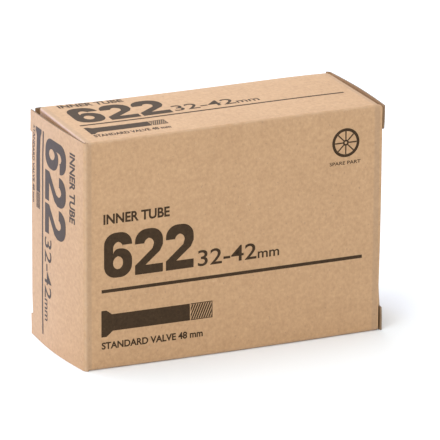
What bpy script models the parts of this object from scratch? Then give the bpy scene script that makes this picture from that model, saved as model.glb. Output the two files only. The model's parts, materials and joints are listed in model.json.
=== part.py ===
"""Boxed bicycle inner tube: a reverse-tuck board carton, the folded tube inside it, and the tube's valve.

+X runs along the carton, -Y is its front, +Z is up. The origin is under the middle of the whole object,
on the surface it stands on. Lengths are in metres.
"""

import math

import bmesh
import bpy
from mathutils import Vector

MM = 0.001
TAU = 2 * math.pi

# Carton sleeve, outside
WIDTH = 120 * MM
DEPTH = 47.3 * MM
HEIGHT = 89.2 * MM
BOARD = 0.6 * MM
GAP = 0.3 * MM

# End closures: each stands a little open at its free edge
LEFT_PROUD = 2.8 * MM
RIGHT_PROUD = 1.6 * MM
CLOSURE_REACH = 45.5 * MM  # from the hinge crease to the lip crease
CLOSURE_INSET = 0.5 * MM  # from the sleeve's top and bottom
SHOULDER_HEIGHT = 8.2 * MM  # the uncreased stretch at each end of the lip crease
LIP_LENGTH = 13 * MM
LIP_INSET = 9.3 * MM
LIP_LEAN = math.radians(6)
LIP_CORNER = 5 * MM

# Dust flaps, in each flap's own plane: across the carton's depth, and down from its crease
FLAP_LENGTH = 30 * MM
FLAP_TAPER = 1.5  # length gained per unit of distance from the closure's hinge
FLAP_EAR = 7.4 * MM  # the full-width stretch beside the crease, which the lip's slit locks
FLAP_SIDE_GAP = 4.3 * MM  # beside the lip, below the ear
FLAP_CORNER = 6 * MM

GLUE_TAB_WIDTH = 7.8 * MM
GLUE_TAB_TAPER = 6 * MM

# Folded tube: a closed loop of flattened tube, doubled and folded to and fro
TUBE_WIDTH = 41 * MM
TUBE_WALLS = 1.9 * MM  # both walls pressed together
STRAND_GAP = 0.3 * MM
RUN_COUNT = 10  # full-length runs below the valve
RUN_PITCH = 7.5 * MM
LOWEST_RUN_Z = 4.3 * MM
BUNDLE_HALF_LENGTH = 44.5 * MM
END_LOOP_RADIUS = 4.65 * MM  # at the valve, to the middle of the tube's two walls
END_LOOP_X = -16 * MM
END_LOOP_NECK = 11 * MM  # from the loop's centre to where its two strands meet
END_LOOP_HALF_ANGLE = math.radians(115)  # the loop's round stretch, to each side of the valve

# Valve, measured from the seat of its base towards its tip
VALVE_Z = 81.5 * MM
PATCH_THICKNESS = 1.0 * MM
PATCH_WIDTH = 25 * MM
PATCH_HALF_ANGLE = math.radians(62)
VALVE_LENGTH = 48 * MM
FOOT_RADIUS = 6.6 * MM
INSERT_START = 10.3 * MM
INSERT_RADIUS = 3.2 * MM
AIRWAY_RADIUS = 1.2 * MM
BORE_START = 30 * MM
BORE_RADIUS = 2.65 * MM
THREAD_START = 38.3 * MM
THREAD_RADIUS = 3.85 * MM
COVER_RADIUS = 4.3 * MM
CAP_START = 40.5 * MM
CAP_END = 51 * MM
CAP_RADIUS = 5 * MM
CAP_BORE = 4.15 * MM
CAP_RIBS = 18
CAP_RIB_DEPTH = 0.35 * MM
SPRING_TURNS = 7
SPRING_RADIUS = 1.0 * MM
SPRING_WIRE = 0.16 * MM
SPRING_SPAN = (33.6 * MM, 40.6 * MM)
PIN_RADIUS = 0.6 * MM
PIN_TIP = 47.4 * MM
BARREL_RADIUS = 1.95 * MM
BARREL_BORE = 1.4 * MM
PLUG_RADIUS = 2.35 * MM
PLUG_BORE = 1.0 * MM

# Rubber band round the bundle and the stem
BAND_X = 12 * MM
BAND_WIDTH = 5 * MM
BAND_THICKNESS = 0.9 * MM

# How finely round shapes are cut
ROUND_SEGMENTS = 24
CORE_SEGMENTS = 16
CORNER_STEPS = 5
BEND_STEPS = 8
STRIP_END_STEPS = 6
END_LOOP_STEPS = 16
PATCH_STEPS = 12
POST_STEPS = 6

# Places that follow from the sizes above
SLEEVE_MID = (LEFT_PROUD - RIGHT_PROUD) / 2
SLEEVE_LEFT = SLEEVE_MID - WIDTH / 2
SLEEVE_RIGHT = SLEEVE_MID + WIDTH / 2
FRONT = -DEPTH / 2
BACK = DEPTH / 2
CREASE = BOARD + GAP  # clear strip beside a hinge line, so that folded board misses its neighbour
VALVE_SEAT_X = END_LOOP_X + END_LOOP_RADIUS + TUBE_WALLS / 2 + GAP + PATCH_THICKNESS
STRAND_OUTSIDE = STRAND_GAP / 2 + TUBE_WALLS  # from the doubled strip's middle line to its outer face
TOP_RUN_Z = LOWEST_RUN_Z + (RUN_COUNT - 1) * RUN_PITCH

COLOURS = {
    "kraft": ((0.55, 0.37, 0.21), 0.85, 0.0),
    "butyl": ((0.03, 0.03, 0.032), 0.6, 0.0),
    "patch_rubber": ((0.045, 0.045, 0.048), 0.55, 0.0),
    "brass": ((0.72, 0.52, 0.22), 0.3, 1.0),
    "steel": ((0.6, 0.6, 0.6), 0.3, 1.0),
    "gasket": ((0.45, 0.06, 0.04), 0.5, 0.0),
    "cap_plastic": ((0.02, 0.02, 0.022), 0.45, 0.0),
    "band_rubber": ((0.62, 0.42, 0.22), 0.6, 0.0),
}


def clear_scene():
    for thing in list(bpy.data.objects):
        bpy.data.objects.remove(thing, do_unlink=True)


def material(name):
    """The named Principled material, made once."""
    if name in bpy.data.materials:
        return bpy.data.materials[name]
    colour, roughness, metallic = COLOURS[name]
    made = bpy.data.materials.new(name)
    made.use_nodes = True
    shader = made.node_tree.nodes["Principled BSDF"]
    shader.inputs["Base Color"].default_value = (*colour, 1)
    shader.inputs["Roughness"].default_value = roughness
    shader.inputs["Metallic"].default_value = metallic
    return made


def add_axis(name, place, turn=0.0, parent=None):
    """An empty on a joint's axis, turned about Z. What moves about the axis is its child."""
    axis = bpy.data.objects.new(name, None)
    axis.location = place
    axis.rotation_euler = (0, 0, turn)
    axis.parent = parent
    bpy.context.scene.collection.objects.link(axis)
    return axis


def add_object(name, bm, colour, parent=None, place=(0, 0, 0)):
    """A named object made from a bmesh, with its faces turned out."""
    bmesh.ops.recalc_face_normals(bm, faces=bm.faces)
    mesh = bpy.data.meshes.new(name)
    bm.to_mesh(mesh)
    bm.free()
    mesh.materials.append(material(colour))
    made = bpy.data.objects.new(name, mesh)
    made.location = place
    made.parent = parent
    bpy.context.scene.collection.objects.link(made)
    return made


def shade_round(made, sharp_degrees=35):
    made.data.shade_smooth()
    made.data.set_sharp_from_angle(angle=math.radians(sharp_degrees))


def arc(centre, radius, start, end, steps):
    """Points on a circular arc, with angles in radians."""
    angles = [start + (end - start) * i / steps for i in range(steps + 1)]
    return [(centre[0] + radius * math.cos(a), centre[1] + radius * math.sin(a)) for a in angles]


def extruded(outline, along, place):
    """A bmesh of a flat outline extruded by the vector along.

    place turns an outline point into a position.
    """
    bm = bmesh.new()
    face = bm.faces.new([bm.verts.new(place(*point)) for point in outline])
    grown = bmesh.ops.extrude_face_region(bm, geom=[face])
    moved = [item for item in grown["geom"] if isinstance(item, bmesh.types.BMVert)]
    bmesh.ops.translate(bm, verts=moved, vec=along)
    return bm


def ring_between(outer, inner, along, place):
    """A bmesh of the strip between two loops of equally many points, extruded by the vector along."""
    bm = bmesh.new()
    loops = []
    for shift in (Vector((0, 0, 0)), Vector(along)):
        for loop in (outer, inner):
            loops.append([bm.verts.new(Vector(place(*point)) + shift) for point in loop])
    near_outer, near_inner, far_outer, far_inner = loops
    pairs = (
        (near_outer, near_inner),
        (far_inner, far_outer),
        (near_inner, far_inner),
        (far_outer, near_outer),
    )
    count = len(outer)
    for first, second in pairs:
        for i in range(count):
            j = (i + 1) % count
            bm.faces.new((first[i], first[j], second[j], second[i]))
    return bm


def turned(profile, segments=ROUND_SEGMENTS, ribbed=()):
    """A bmesh of a profile of (x, radius) points turned about the X axis. A radius of 0 closes the end.

    ribbed lists the profile points whose radius rises and falls by the depth given with them.
    """
    depths = dict(ribbed)
    bm = bmesh.new()
    rows = []
    for index, (x, radius) in enumerate(profile):
        if radius == 0:
            rows.append([bm.verts.new((x, 0, 0))])
            continue
        row = []
        for k in range(segments):
            reach = radius - depths.get(index, 0) * (k % 2)
            angle = TAU * k / segments
            row.append(bm.verts.new((x, reach * math.cos(angle), reach * math.sin(angle))))
        rows.append(row)
    closed = profile[0][1] > 0
    for index in range(len(rows) if closed else len(rows) - 1):
        first, second = rows[index], rows[(index + 1) % len(rows)]
        for k in range(segments):
            j = (k + 1) % segments
            corners = [
                first[k % len(first)],
                first[j % len(first)],
                second[j % len(second)],
                second[k % len(second)],
            ]
            bm.faces.new(list(dict.fromkeys(corners)))
    return bm


# Carton ---------------------------------------------------------------------------------------------------


def slab(name, low, high):
    """A board panel with straight sides, between two corners."""
    outline = [(low[0], low[1]), (high[0], low[1]), (high[0], high[1]), (low[0], high[1])]
    bm = extruded(outline, (0, 0, high[2] - low[2]), lambda x, y: (x, y, low[2]))
    return add_object(name, bm, "kraft")


def build_sleeve():
    """The four walls, and the tab that closes the sleeve inside the back panel."""
    inner_front = FRONT + BOARD + GAP
    inner_back = BACK - BOARD - GAP
    end_left = SLEEVE_LEFT + CREASE
    end_right = SLEEVE_RIGHT - CREASE
    slab("front_panel", (SLEEVE_LEFT, FRONT, 0), (SLEEVE_RIGHT, FRONT + BOARD, HEIGHT))
    slab("back_panel", (SLEEVE_LEFT, BACK - BOARD, 0), (SLEEVE_RIGHT, BACK, HEIGHT))
    slab("top_panel", (end_left, inner_front, HEIGHT - BOARD), (end_right, inner_back, HEIGHT))
    slab("bottom_panel", (end_left, inner_front, 0), (end_right, inner_back, BOARD))
    low, high = BOARD + GAP, BOARD + GAP + GLUE_TAB_WIDTH
    clear_of_flap = BOARD + GAP
    tab = [
        (end_left + clear_of_flap, low),
        (end_right - clear_of_flap, low),
        (end_right - GLUE_TAB_TAPER, high),
        (end_left + GLUE_TAB_TAPER, high),
    ]
    add_object("glue_tab", extruded(tab, (0, -BOARD, 0), lambda x, z: (x, inner_back, z)), "kraft")


def closure_outline():
    """The closure panel in its own plane: distance from the hinge, and height."""
    low, high = CLOSURE_INSET, HEIGHT - CLOSURE_INSET
    edge = DEPTH
    return [
        (CREASE, low),
        (edge, low),
        (edge, low + SHOULDER_HEIGHT - GAP),
        (CLOSURE_REACH, low + SHOULDER_HEIGHT),
        (CLOSURE_REACH, high - SHOULDER_HEIGHT),
        (edge, high - SHOULDER_HEIGHT + GAP),
        (edge, high),
        (CREASE, high),
    ]


def lip_outline():
    """The tuck lip in its own plane: distance from its crease, and height. Its free corners are round."""
    low, high = LIP_INSET, HEIGHT - LIP_INSET
    round_x = LIP_LENGTH - LIP_CORNER
    lower = arc((round_x, low + LIP_CORNER), LIP_CORNER, -math.pi / 2, 0, CORNER_STEPS)
    upper = arc((round_x, high - LIP_CORNER), LIP_CORNER, 0, math.pi / 2, CORNER_STEPS)
    return [(CREASE, low), *lower, *upper, (CREASE, high)]


def flap_outline():
    """A dust flap in its own plane: distance from the closure's hinge side, and from its crease."""
    near = BOARD + 3 * GAP
    far_ear = DEPTH - BOARD - GAP
    far = DEPTH - FLAP_SIDE_GAP
    tip_start = near + (FLAP_LENGTH - CREASE) / FLAP_TAPER
    corner_centre = (far - FLAP_CORNER, FLAP_LENGTH - FLAP_CORNER)
    return [
        (near, CREASE),
        (tip_start, FLAP_LENGTH),
        *arc(corner_centre, FLAP_CORNER, math.pi / 2, 0, CORNER_STEPS),
        (far, FLAP_EAR),
        (far_ear, FLAP_EAR),
        (far_ear, CREASE),
    ]


def build_end(side, corner, turn, proud):
    """One end's closure, lip and dust flaps, built as the left end and turned into place about Z.

    The closure hangs on the upright crease at corner. The end's own frame has +X into the carton and
    +Y across it.
    """
    end = add_axis(f"{side}_end", corner, turn)
    ajar = math.asin(proud / DEPTH)
    closure_axis = add_axis(f"{side}_closure_axis", (0, 0, 0), ajar, end)
    panel = extruded(closure_outline(), (BOARD, 0, 0), lambda reach, z: (0, reach, z))
    add_object(f"{side}_closure_panel", panel, "kraft", closure_axis)

    lip_axis = add_axis(f"{side}_lip_axis", (0, CLOSURE_REACH, 0), -ajar - LIP_LEAN, closure_axis)
    lip = extruded(lip_outline(), (0, -BOARD, 0), lambda reach, z: (reach, 0, z))
    add_object(f"{side}_tuck_lip", lip, "kraft", lip_axis)

    for level, crease_z, into in (("top", HEIGHT, -1), ("bottom", 0, 1)):
        flap_axis = add_axis(f"{side}_{level}_flap_axis", (CREASE, 0, crease_z), 0, end)
        outline = [(across, into * reach) for across, reach in flap_outline()]
        flap = extruded(outline, (BOARD, 0, 0), lambda across, z: (0, across, z))
        add_object(f"{side}_{level}_dust_flap", flap, "kraft", flap_axis)


# Folded tube ----------------------------------------------------------------------------------------------


def fold_route():
    """The middle line of the doubled strip, from the valve loop down to the lowest run, in X and Z.

    Each entry is a point with the direction of travel, so that the strip's two strands can be set off
    from it.
    """
    reach = BUNDLE_HALF_LENGTH - STRAND_OUTSIDE
    first_bend = (VALVE_Z - TOP_RUN_Z) / 2
    route = [((END_LOOP_X - END_LOOP_NECK, VALVE_Z), math.pi)]
    side = -1
    centre_z, radius = VALVE_Z - first_bend, first_bend
    for _ in range(RUN_COUNT):
        for i in range(BEND_STEPS + 1):
            turn = math.pi * i / BEND_STEPS
            x = side * (reach - radius + radius * math.sin(turn))
            z = centre_z + radius * math.cos(turn)
            route.append(((x, z), math.pi + turn if side < 0 else -turn))
        side = -side
        centre_z, radius = centre_z - radius - RUN_PITCH / 2, RUN_PITCH / 2
    route.append(((side * reach, LOWEST_RUN_Z), 0 if side > 0 else math.pi))
    return route


def offset_point(point, heading, distance):
    """A point moved to the left of its heading."""
    return (point[0] - distance * math.sin(heading), point[1] + distance * math.cos(heading))


def strip_loop(route, distance, loop_radius):
    """One closed line round the doubled strip.

    It runs out along one strand, back along the other, and round the valve loop.
    """
    near = [offset_point(point, heading, -distance) for point, heading in route]
    far = [offset_point(point, heading, distance) for point, heading in route]
    end_point, end_heading = route[-1]
    first, last = end_heading - math.pi / 2, end_heading + math.pi / 2
    strip_end = arc(end_point, distance, first, last, STRIP_END_STEPS)[1:-1]
    loop_centre = (END_LOOP_X, VALVE_Z)
    valve_loop = arc(loop_centre, loop_radius, -END_LOOP_HALF_ANGLE, END_LOOP_HALF_ANGLE, END_LOOP_STEPS)
    return near + strip_end + far[::-1] + valve_loop


def build_tube():
    route = fold_route()
    outer = strip_loop(route, STRAND_OUTSIDE, END_LOOP_RADIUS + TUBE_WALLS / 2)
    inner = strip_loop(route, STRAND_GAP / 2, END_LOOP_RADIUS - TUBE_WALLS / 2)
    bm = ring_between(outer, inner, (0, TUBE_WIDTH, 0), lambda x, z: (x, -TUBE_WIDTH / 2, z))
    shade_round(add_object("inner_tube", bm, "butyl"))


# Valve ----------------------------------------------------------------------------------------------------


def build_base_patch():
    """The patch moulded round the end loop, which carries the stem."""
    inside = END_LOOP_RADIUS + TUBE_WALLS / 2 + GAP
    centre = (END_LOOP_X, VALVE_Z)
    outer = arc(centre, inside + PATCH_THICKNESS, -PATCH_HALF_ANGLE, PATCH_HALF_ANGLE, PATCH_STEPS)
    inner = arc(centre, inside, PATCH_HALF_ANGLE, -PATCH_HALF_ANGLE, PATCH_STEPS)
    bm = extruded(outer + inner, (0, PATCH_WIDTH, 0), lambda x, z: (x, -PATCH_WIDTH / 2, z))
    shade_round(add_object("valve_base_patch", bm, "patch_rubber"))


def add_turned(name, colour, profile, segments=ROUND_SEGMENTS, ribbed=()):
    """A turned piece on the valve's axis. Its profile is measured from the valve's seat."""
    made = add_object(name, turned(profile, segments, ribbed), colour, place=(VALVE_SEAT_X, 0, VALVE_Z))
    shade_round(made)


def build_stem():
    """The rubber cover with its foot, and the brass insert with the thread and the core's bore."""
    socket_start = INSERT_START - GAP
    socket_radius = INSERT_RADIUS + GAP
    foot_edge = 1.4 * MM
    foot_waist = 5.5 * MM
    cover_end = THREAD_START - GAP
    chamfer = 1.0 * MM
    cover = [
        (GAP, 0),
        (GAP, FOOT_RADIUS),
        (foot_edge, FOOT_RADIUS),
        (foot_edge + chamfer, FOOT_RADIUS - chamfer),
        (foot_waist, COVER_RADIUS + GAP),
        (9 * MM, COVER_RADIUS),
        (cover_end - chamfer, COVER_RADIUS),
        (cover_end, COVER_RADIUS - GAP),
        (cover_end, socket_radius),
        (socket_start, socket_radius),
        (socket_start, 0),
    ]
    add_turned("valve_stem_cover", "patch_rubber", cover)
    bevel = 0.6 * MM
    insert = [
        (INSERT_START, INSERT_RADIUS),
        (THREAD_START, INSERT_RADIUS),
        (THREAD_START, THREAD_RADIUS),
        (VALVE_LENGTH - bevel, THREAD_RADIUS),
        (VALVE_LENGTH, THREAD_RADIUS - bevel),
        (VALVE_LENGTH, BORE_RADIUS),
        (BORE_START, BORE_RADIUS),
        (BORE_START - 1 * MM, AIRWAY_RADIUS),
        (INSERT_START, AIRWAY_RADIUS),
    ]
    add_turned("valve_stem_insert", "brass", insert)


def add_core_piece(name, colour, profile_mm):
    """A small turned piece of the valve core, with its profile in millimetres."""
    add_turned(name, colour, [(x * MM, radius * MM) for x, radius in profile_mm], CORE_SEGMENTS)


def build_core():
    """The removable core: plug, barrel, gasket, sprung pin and its seat washer."""
    outside, bore = PLUG_RADIUS / MM, PLUG_BORE / MM
    plug = [(42.2, bore), (42.2, outside), (46.2, outside), (46.6, outside - 0.35), (46.6, bore)]
    add_core_piece("core_plug", "brass", plug)

    outside, bore = BARREL_RADIUS / MM, BARREL_BORE / MM
    barrel = [(33, bore), (33, outside - 0.2), (36, outside), (41.9, outside), (41.9, bore)]
    add_core_piece("core_barrel", "brass", barrel)

    bore = outside + 0.15
    crown = BORE_RADIUS / MM - 0.15
    gasket = [(37, bore), (37, bore + 0.1), (38, crown), (39.5, crown), (40, bore + 0.1), (40, bore)]
    add_core_piece("core_gasket", "gasket", gasket)

    pin, tip = PIN_RADIUS / MM, PIN_TIP / MM
    foot = [(31, 0), (31, 1.7), (32, 1.7), (32, pin)]
    collar = [(40.8, pin), (40.8, 1.15), (41.3, 1.15), (41.3, pin)]
    add_core_piece("valve_pin", "brass", [*foot, *collar, (tip, pin), (tip, 0)])

    washer = [(32.15, pin + 0.15), (32.15, 1.6), (32.75, 1.6), (32.75, pin + 0.15)]
    add_core_piece("core_seat_washer", "gasket", washer)


def build_spring():
    """The coil round the pin, inside the barrel."""
    start, end = SPRING_SPAN
    steps = SPRING_TURNS * 10
    curve = bpy.data.curves.new("valve_spring", "CURVE")
    curve.dimensions = "3D"
    curve.bevel_depth = SPRING_WIRE
    curve.bevel_resolution = 1
    curve.use_fill_caps = True
    line = curve.splines.new("POLY")
    line.points.add(steps)
    for i, point in enumerate(line.points):
        angle = TAU * SPRING_TURNS * i / steps
        x = start + (end - start) * i / steps
        point.co = (x, SPRING_RADIUS * math.cos(angle), SPRING_RADIUS * math.sin(angle), 1)
    curve.materials.append(material("steel"))
    made = bpy.data.objects.new("valve_spring", curve)
    made.location = (VALVE_SEAT_X, 0, VALVE_Z)
    bpy.context.scene.collection.objects.link(made)


def build_cap():
    """The screw cap, ribbed outside and open towards the valve, and the seal in its closed end."""
    roof = CAP_END - 1.6 * MM
    mouth_bevel = 0.4 * MM
    cap = [
        (CAP_END, 0),
        (CAP_END, CAP_RADIUS - 2 * MM),
        (CAP_END - 0.6 * MM, CAP_RADIUS - 0.9 * MM),
        (CAP_END - 1.5 * MM, CAP_RADIUS),
        (CAP_START + mouth_bevel, CAP_RADIUS),
        (CAP_START, CAP_RADIUS - mouth_bevel),
        (CAP_START, CAP_BORE),
        (roof, CAP_BORE),
        (roof, 0),
    ]
    ribs = ((3, CAP_RIB_DEPTH), (4, CAP_RIB_DEPTH))
    add_turned("valve_cap", "cap_plastic", cap, 2 * CAP_RIBS, ribbed=ribs)
    seal_end = roof - GAP
    seal_start = seal_end - 0.7 * MM
    seal_radius = CAP_BORE - 0.45 * MM
    seal = [(seal_start, 0), (seal_start, seal_radius), (seal_end, seal_radius), (seal_end, 0)]
    add_turned("cap_seal", "gasket", seal)


# Rubber band ----------------------------------------------------------------------------------------------


def belt(posts, clear):
    """The outline of a belt round posts (y, z, radius), listed anticlockwise, held off them by clear."""
    points = []
    count = len(posts)
    headings = []
    for i in range(count):
        y, z, radius = posts[i]
        next_y, next_z, next_radius = posts[(i + 1) % count]
        along = math.atan2(next_z - z, next_y - y)
        apart = math.hypot(next_y - y, next_z - z)
        headings.append(along - math.acos((radius - next_radius) / apart))
    for i, (y, z, radius) in enumerate(posts):
        start = headings[i - 1]
        turn = (headings[i] - start) % TAU
        points += arc((y, z), radius + clear, start, start + turn, POST_STEPS)
    return points


def build_band():
    half = TUBE_WIDTH / 2
    low, high = LOWEST_RUN_Z - STRAND_OUTSIDE, TOP_RUN_Z + STRAND_OUTSIDE
    stem_post = (0, VALVE_Z, COVER_RADIUS)
    posts = [(half, low, 0), (half, high, 0), stem_post, (-half, high, 0), (-half, low, 0)]
    outer, inner = belt(posts, GAP + BAND_THICKNESS), belt(posts, GAP)
    bm = ring_between(outer, inner, (BAND_WIDTH, 0, 0), lambda y, z: (BAND_X - BAND_WIDTH / 2, y, z))
    shade_round(add_object("rubber_band", bm, "band_rubber"))


def build():
    clear_scene()
    build_sleeve()
    build_end("left", (SLEEVE_LEFT, FRONT, 0), 0, LEFT_PROUD)
    build_end("right", (SLEEVE_RIGHT, BACK, 0), math.pi, RIGHT_PROUD)
    build_tube()
    build_base_patch()
    build_stem()
    build_core()
    build_spring()
    build_cap()
    build_band()


build()
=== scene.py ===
"""Looks for a boxed bicycle inner tube: its printed kraft carton, and the folded tube with its valve inside.

+X runs along the carton, -Y is its front and +Z is up, in metres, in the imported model's frame.
"""

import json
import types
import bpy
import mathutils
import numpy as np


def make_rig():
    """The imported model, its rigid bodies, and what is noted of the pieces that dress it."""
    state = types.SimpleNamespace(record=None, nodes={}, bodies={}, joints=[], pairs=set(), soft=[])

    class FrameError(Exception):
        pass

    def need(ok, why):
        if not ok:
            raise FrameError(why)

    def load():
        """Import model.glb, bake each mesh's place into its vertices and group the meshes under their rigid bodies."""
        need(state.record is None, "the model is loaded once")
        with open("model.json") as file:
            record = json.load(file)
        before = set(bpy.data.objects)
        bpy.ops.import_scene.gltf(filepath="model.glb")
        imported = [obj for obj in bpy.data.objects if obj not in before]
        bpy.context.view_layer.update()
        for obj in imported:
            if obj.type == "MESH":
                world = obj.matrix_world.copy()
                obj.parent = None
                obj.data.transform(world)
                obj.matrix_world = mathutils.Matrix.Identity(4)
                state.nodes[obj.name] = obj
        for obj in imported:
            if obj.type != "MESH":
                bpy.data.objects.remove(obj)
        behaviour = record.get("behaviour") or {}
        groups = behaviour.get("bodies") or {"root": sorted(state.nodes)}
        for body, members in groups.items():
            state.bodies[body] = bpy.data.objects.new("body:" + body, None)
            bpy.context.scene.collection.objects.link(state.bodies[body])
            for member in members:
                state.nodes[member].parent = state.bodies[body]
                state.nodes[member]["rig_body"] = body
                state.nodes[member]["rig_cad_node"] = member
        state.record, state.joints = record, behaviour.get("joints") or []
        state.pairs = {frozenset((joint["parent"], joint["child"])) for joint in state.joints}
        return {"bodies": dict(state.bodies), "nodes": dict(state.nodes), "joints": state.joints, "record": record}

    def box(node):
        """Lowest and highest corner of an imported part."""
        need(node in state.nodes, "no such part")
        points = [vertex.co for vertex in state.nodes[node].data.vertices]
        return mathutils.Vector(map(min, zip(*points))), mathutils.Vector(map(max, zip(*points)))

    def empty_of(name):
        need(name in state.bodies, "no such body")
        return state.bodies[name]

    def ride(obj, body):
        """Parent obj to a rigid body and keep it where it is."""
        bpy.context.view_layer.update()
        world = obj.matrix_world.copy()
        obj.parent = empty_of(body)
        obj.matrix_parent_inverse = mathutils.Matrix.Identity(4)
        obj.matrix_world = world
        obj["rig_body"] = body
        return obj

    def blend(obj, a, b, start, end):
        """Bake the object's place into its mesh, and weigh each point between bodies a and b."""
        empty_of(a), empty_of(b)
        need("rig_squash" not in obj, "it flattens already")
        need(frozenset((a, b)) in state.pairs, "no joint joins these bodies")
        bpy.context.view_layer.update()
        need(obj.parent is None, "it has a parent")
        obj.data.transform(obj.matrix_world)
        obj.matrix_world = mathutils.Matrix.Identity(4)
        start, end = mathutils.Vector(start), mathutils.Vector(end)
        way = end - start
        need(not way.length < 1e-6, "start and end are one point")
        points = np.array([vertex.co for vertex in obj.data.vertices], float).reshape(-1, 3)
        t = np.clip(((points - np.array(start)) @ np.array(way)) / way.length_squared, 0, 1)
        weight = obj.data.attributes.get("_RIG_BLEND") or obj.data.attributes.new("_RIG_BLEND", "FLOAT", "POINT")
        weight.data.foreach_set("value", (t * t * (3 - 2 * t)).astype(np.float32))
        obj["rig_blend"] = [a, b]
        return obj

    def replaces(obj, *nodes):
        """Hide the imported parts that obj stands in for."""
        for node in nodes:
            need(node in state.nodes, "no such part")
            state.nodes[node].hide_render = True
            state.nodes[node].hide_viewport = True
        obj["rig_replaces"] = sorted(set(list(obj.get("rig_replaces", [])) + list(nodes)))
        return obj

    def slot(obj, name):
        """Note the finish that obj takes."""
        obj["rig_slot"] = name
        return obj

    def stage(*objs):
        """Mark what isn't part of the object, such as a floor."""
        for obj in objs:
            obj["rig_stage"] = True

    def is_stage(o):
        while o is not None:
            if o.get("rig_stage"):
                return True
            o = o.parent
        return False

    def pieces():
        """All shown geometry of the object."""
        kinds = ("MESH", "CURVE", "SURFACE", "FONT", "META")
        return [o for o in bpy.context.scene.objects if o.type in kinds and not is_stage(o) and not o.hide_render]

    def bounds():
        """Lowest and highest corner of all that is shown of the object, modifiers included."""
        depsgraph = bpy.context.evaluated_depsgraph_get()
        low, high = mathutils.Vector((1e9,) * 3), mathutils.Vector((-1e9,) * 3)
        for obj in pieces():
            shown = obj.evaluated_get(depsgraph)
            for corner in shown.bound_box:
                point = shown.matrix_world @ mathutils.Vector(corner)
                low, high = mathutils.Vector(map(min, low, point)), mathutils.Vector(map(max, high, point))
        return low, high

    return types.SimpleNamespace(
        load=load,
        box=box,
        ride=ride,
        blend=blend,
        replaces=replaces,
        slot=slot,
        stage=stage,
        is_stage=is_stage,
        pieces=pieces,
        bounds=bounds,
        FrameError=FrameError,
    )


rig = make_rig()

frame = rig.load()
cad_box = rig.bounds()

import json
import math

import bmesh
import bpy
from mathutils import Matrix, Vector, noise

MM = 0.001
TAU = 2 * math.pi
JOINTS = {joint["name"]: joint for joint in frame["joints"]}

# The carton's faces, from the frame
front_low, front_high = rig.box("front_panel")
LEFT, RIGHT = front_low.x, front_high.x
FRONT, BACK = front_low.y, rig.box("back_panel")[1].y
TOP = front_high.z
BOARD = front_high.y - front_low.y
WIDTH, DEPTH = RIGHT - LEFT, BACK - FRONT
MIDDLE = (LEFT + RIGHT) / 2

# Creases: how far the rounding reaches along each of the two panels that meet there
GIRTH_CREASE = 1.0 * MM  # the long edges
FOOT_CREASE = 1.6 * MM  # the long edge at the front panel's foot
HINGE_CREASE = 1.5 * MM  # closure to sleeve
LIP_CREASE = 0.8 * MM
FLAP_CREASE = 1.0 * MM
CREASE_CUTS = 6
CREASE_MARK = 0.7 * MM  # how far the wear along a crease reaches
HINGE_MARK = 0.8 * MM
GRID = 4 * MM  # the longest stretch of board between two rows of points
SHARP_ANGLE = math.radians(40)

# End pieces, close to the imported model's
CLOSURE_LOW = 0.05 * MM
CLOSURE_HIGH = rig.box("left_closure_panel")[1].z
CLOSURE_FULL_REACH = 47.3 * MM
LIP_LENGTH = 13 * MM
LIP_LEAN = math.radians(6)
LIP_INSET = 9.3 * MM
LIP_OUTSET = 0.7 * MM  # how much nearer to the sleeve the lip's crease is than its hinge
LIP_CORNER = 5 * MM
FLAP_INSET = 0.3 * MM
FLAP_NEAR = 1.5 * MM
FLAP_FAR_EAR = 45.7 * MM
FLAP_FAR = 43 * MM
FLAP_LENGTH = 30 * MM
FLAP_TIP_START = 20.9 * MM
FLAP_EAR = 7.4 * MM
FLAP_CORNER = 6 * MM
CUT_GAP = 0.3 * MM
GLUE_TAB_WIDTH = 8.6 * MM
GLUE_TAB_TAPER = 6 * MM
BACK_NIB = 0.9 * MM  # how far the back panel's upper corner stands out
FRONT_NIB = 0.35 * MM  # how far the board above a closure's crease is cut back
LIP_SETTLE = 0.7  # how much of the closure's bow is gone at the lip's free edge

# How far the board bows out of its plane
TOP_BOW = 0.3 * MM  # at the back edge, towards the right end
TOP_BOW_SKEW = 4
FRONT_LIFT = 0.75 * MM  # of the top front edge, at the right end
BACK_BOW = 0.5 * MM
FRONT_BOW = 0.2 * MM
FOOT_BOW = 0.9 * MM  # of the front panel's foot
LEFT_END_RISE = 0.5 * MM  # of the top back edge, at the left end
RIGHT_SPREAD = 0.5 * MM  # how far the front panel's upper right edge stands out
RIGHT_EDGE = ((1, 0.65), (0.7, 0.42), (0, 0.2), (0, 0))  # a share of that spread, at a share of the height
FRONT_LIFT_RATE, LEFT_END_RATE = 1.3, 4  # how fast each comes or goes, per carton's length
FOOT_UP_RATE, FOOT_UNDER_RATE = 2.5, 3  # how fast the foot's bow goes, per panel's height and depth

# Printing
INK_PROUD = 0.03 * MM
INK_SUNK = 0.05 * MM
PRINT_GRID = 6 * MM
FONT_CAP_HEIGHT = 0.682  # of the built-in font at size 1

# Folded tube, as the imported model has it
TUBE_WIDTH = 41 * MM
TUBE_WALLS = 1.9 * MM
STRAND_GAP = 0.3 * MM
STRAND_MIDDLE = (STRAND_GAP + TUBE_WALLS) / 2
RUN_COUNT = 10
RUN_PITCH = 7.5 * MM
LOWEST_RUN_Z = 4.3 * MM
TOP_RUN_Z = LOWEST_RUN_Z + (RUN_COUNT - 1) * RUN_PITCH
RUN_REACH = 42.45 * MM
VALVE_Z = JOINTS["cap_turn"]["pos_m"][2]
END_LOOP_RADIUS = 4.65 * MM
END_LOOP_X = -16 * MM
END_LOOP_NECK = 11 * MM
END_LOOP_HALF_ANGLE = math.radians(115)
TUBE_PUFF = 0.75 * MM  # how far trapped air fills a strand out, between the folds
TUBE_EDGE = 0.95 * MM  # the radius of the tube's folded edges
TUBE_SINK = 0.08 * MM  # how far each wall sinks in between them
TUBE_THINNEST = 0.02 * MM
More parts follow.
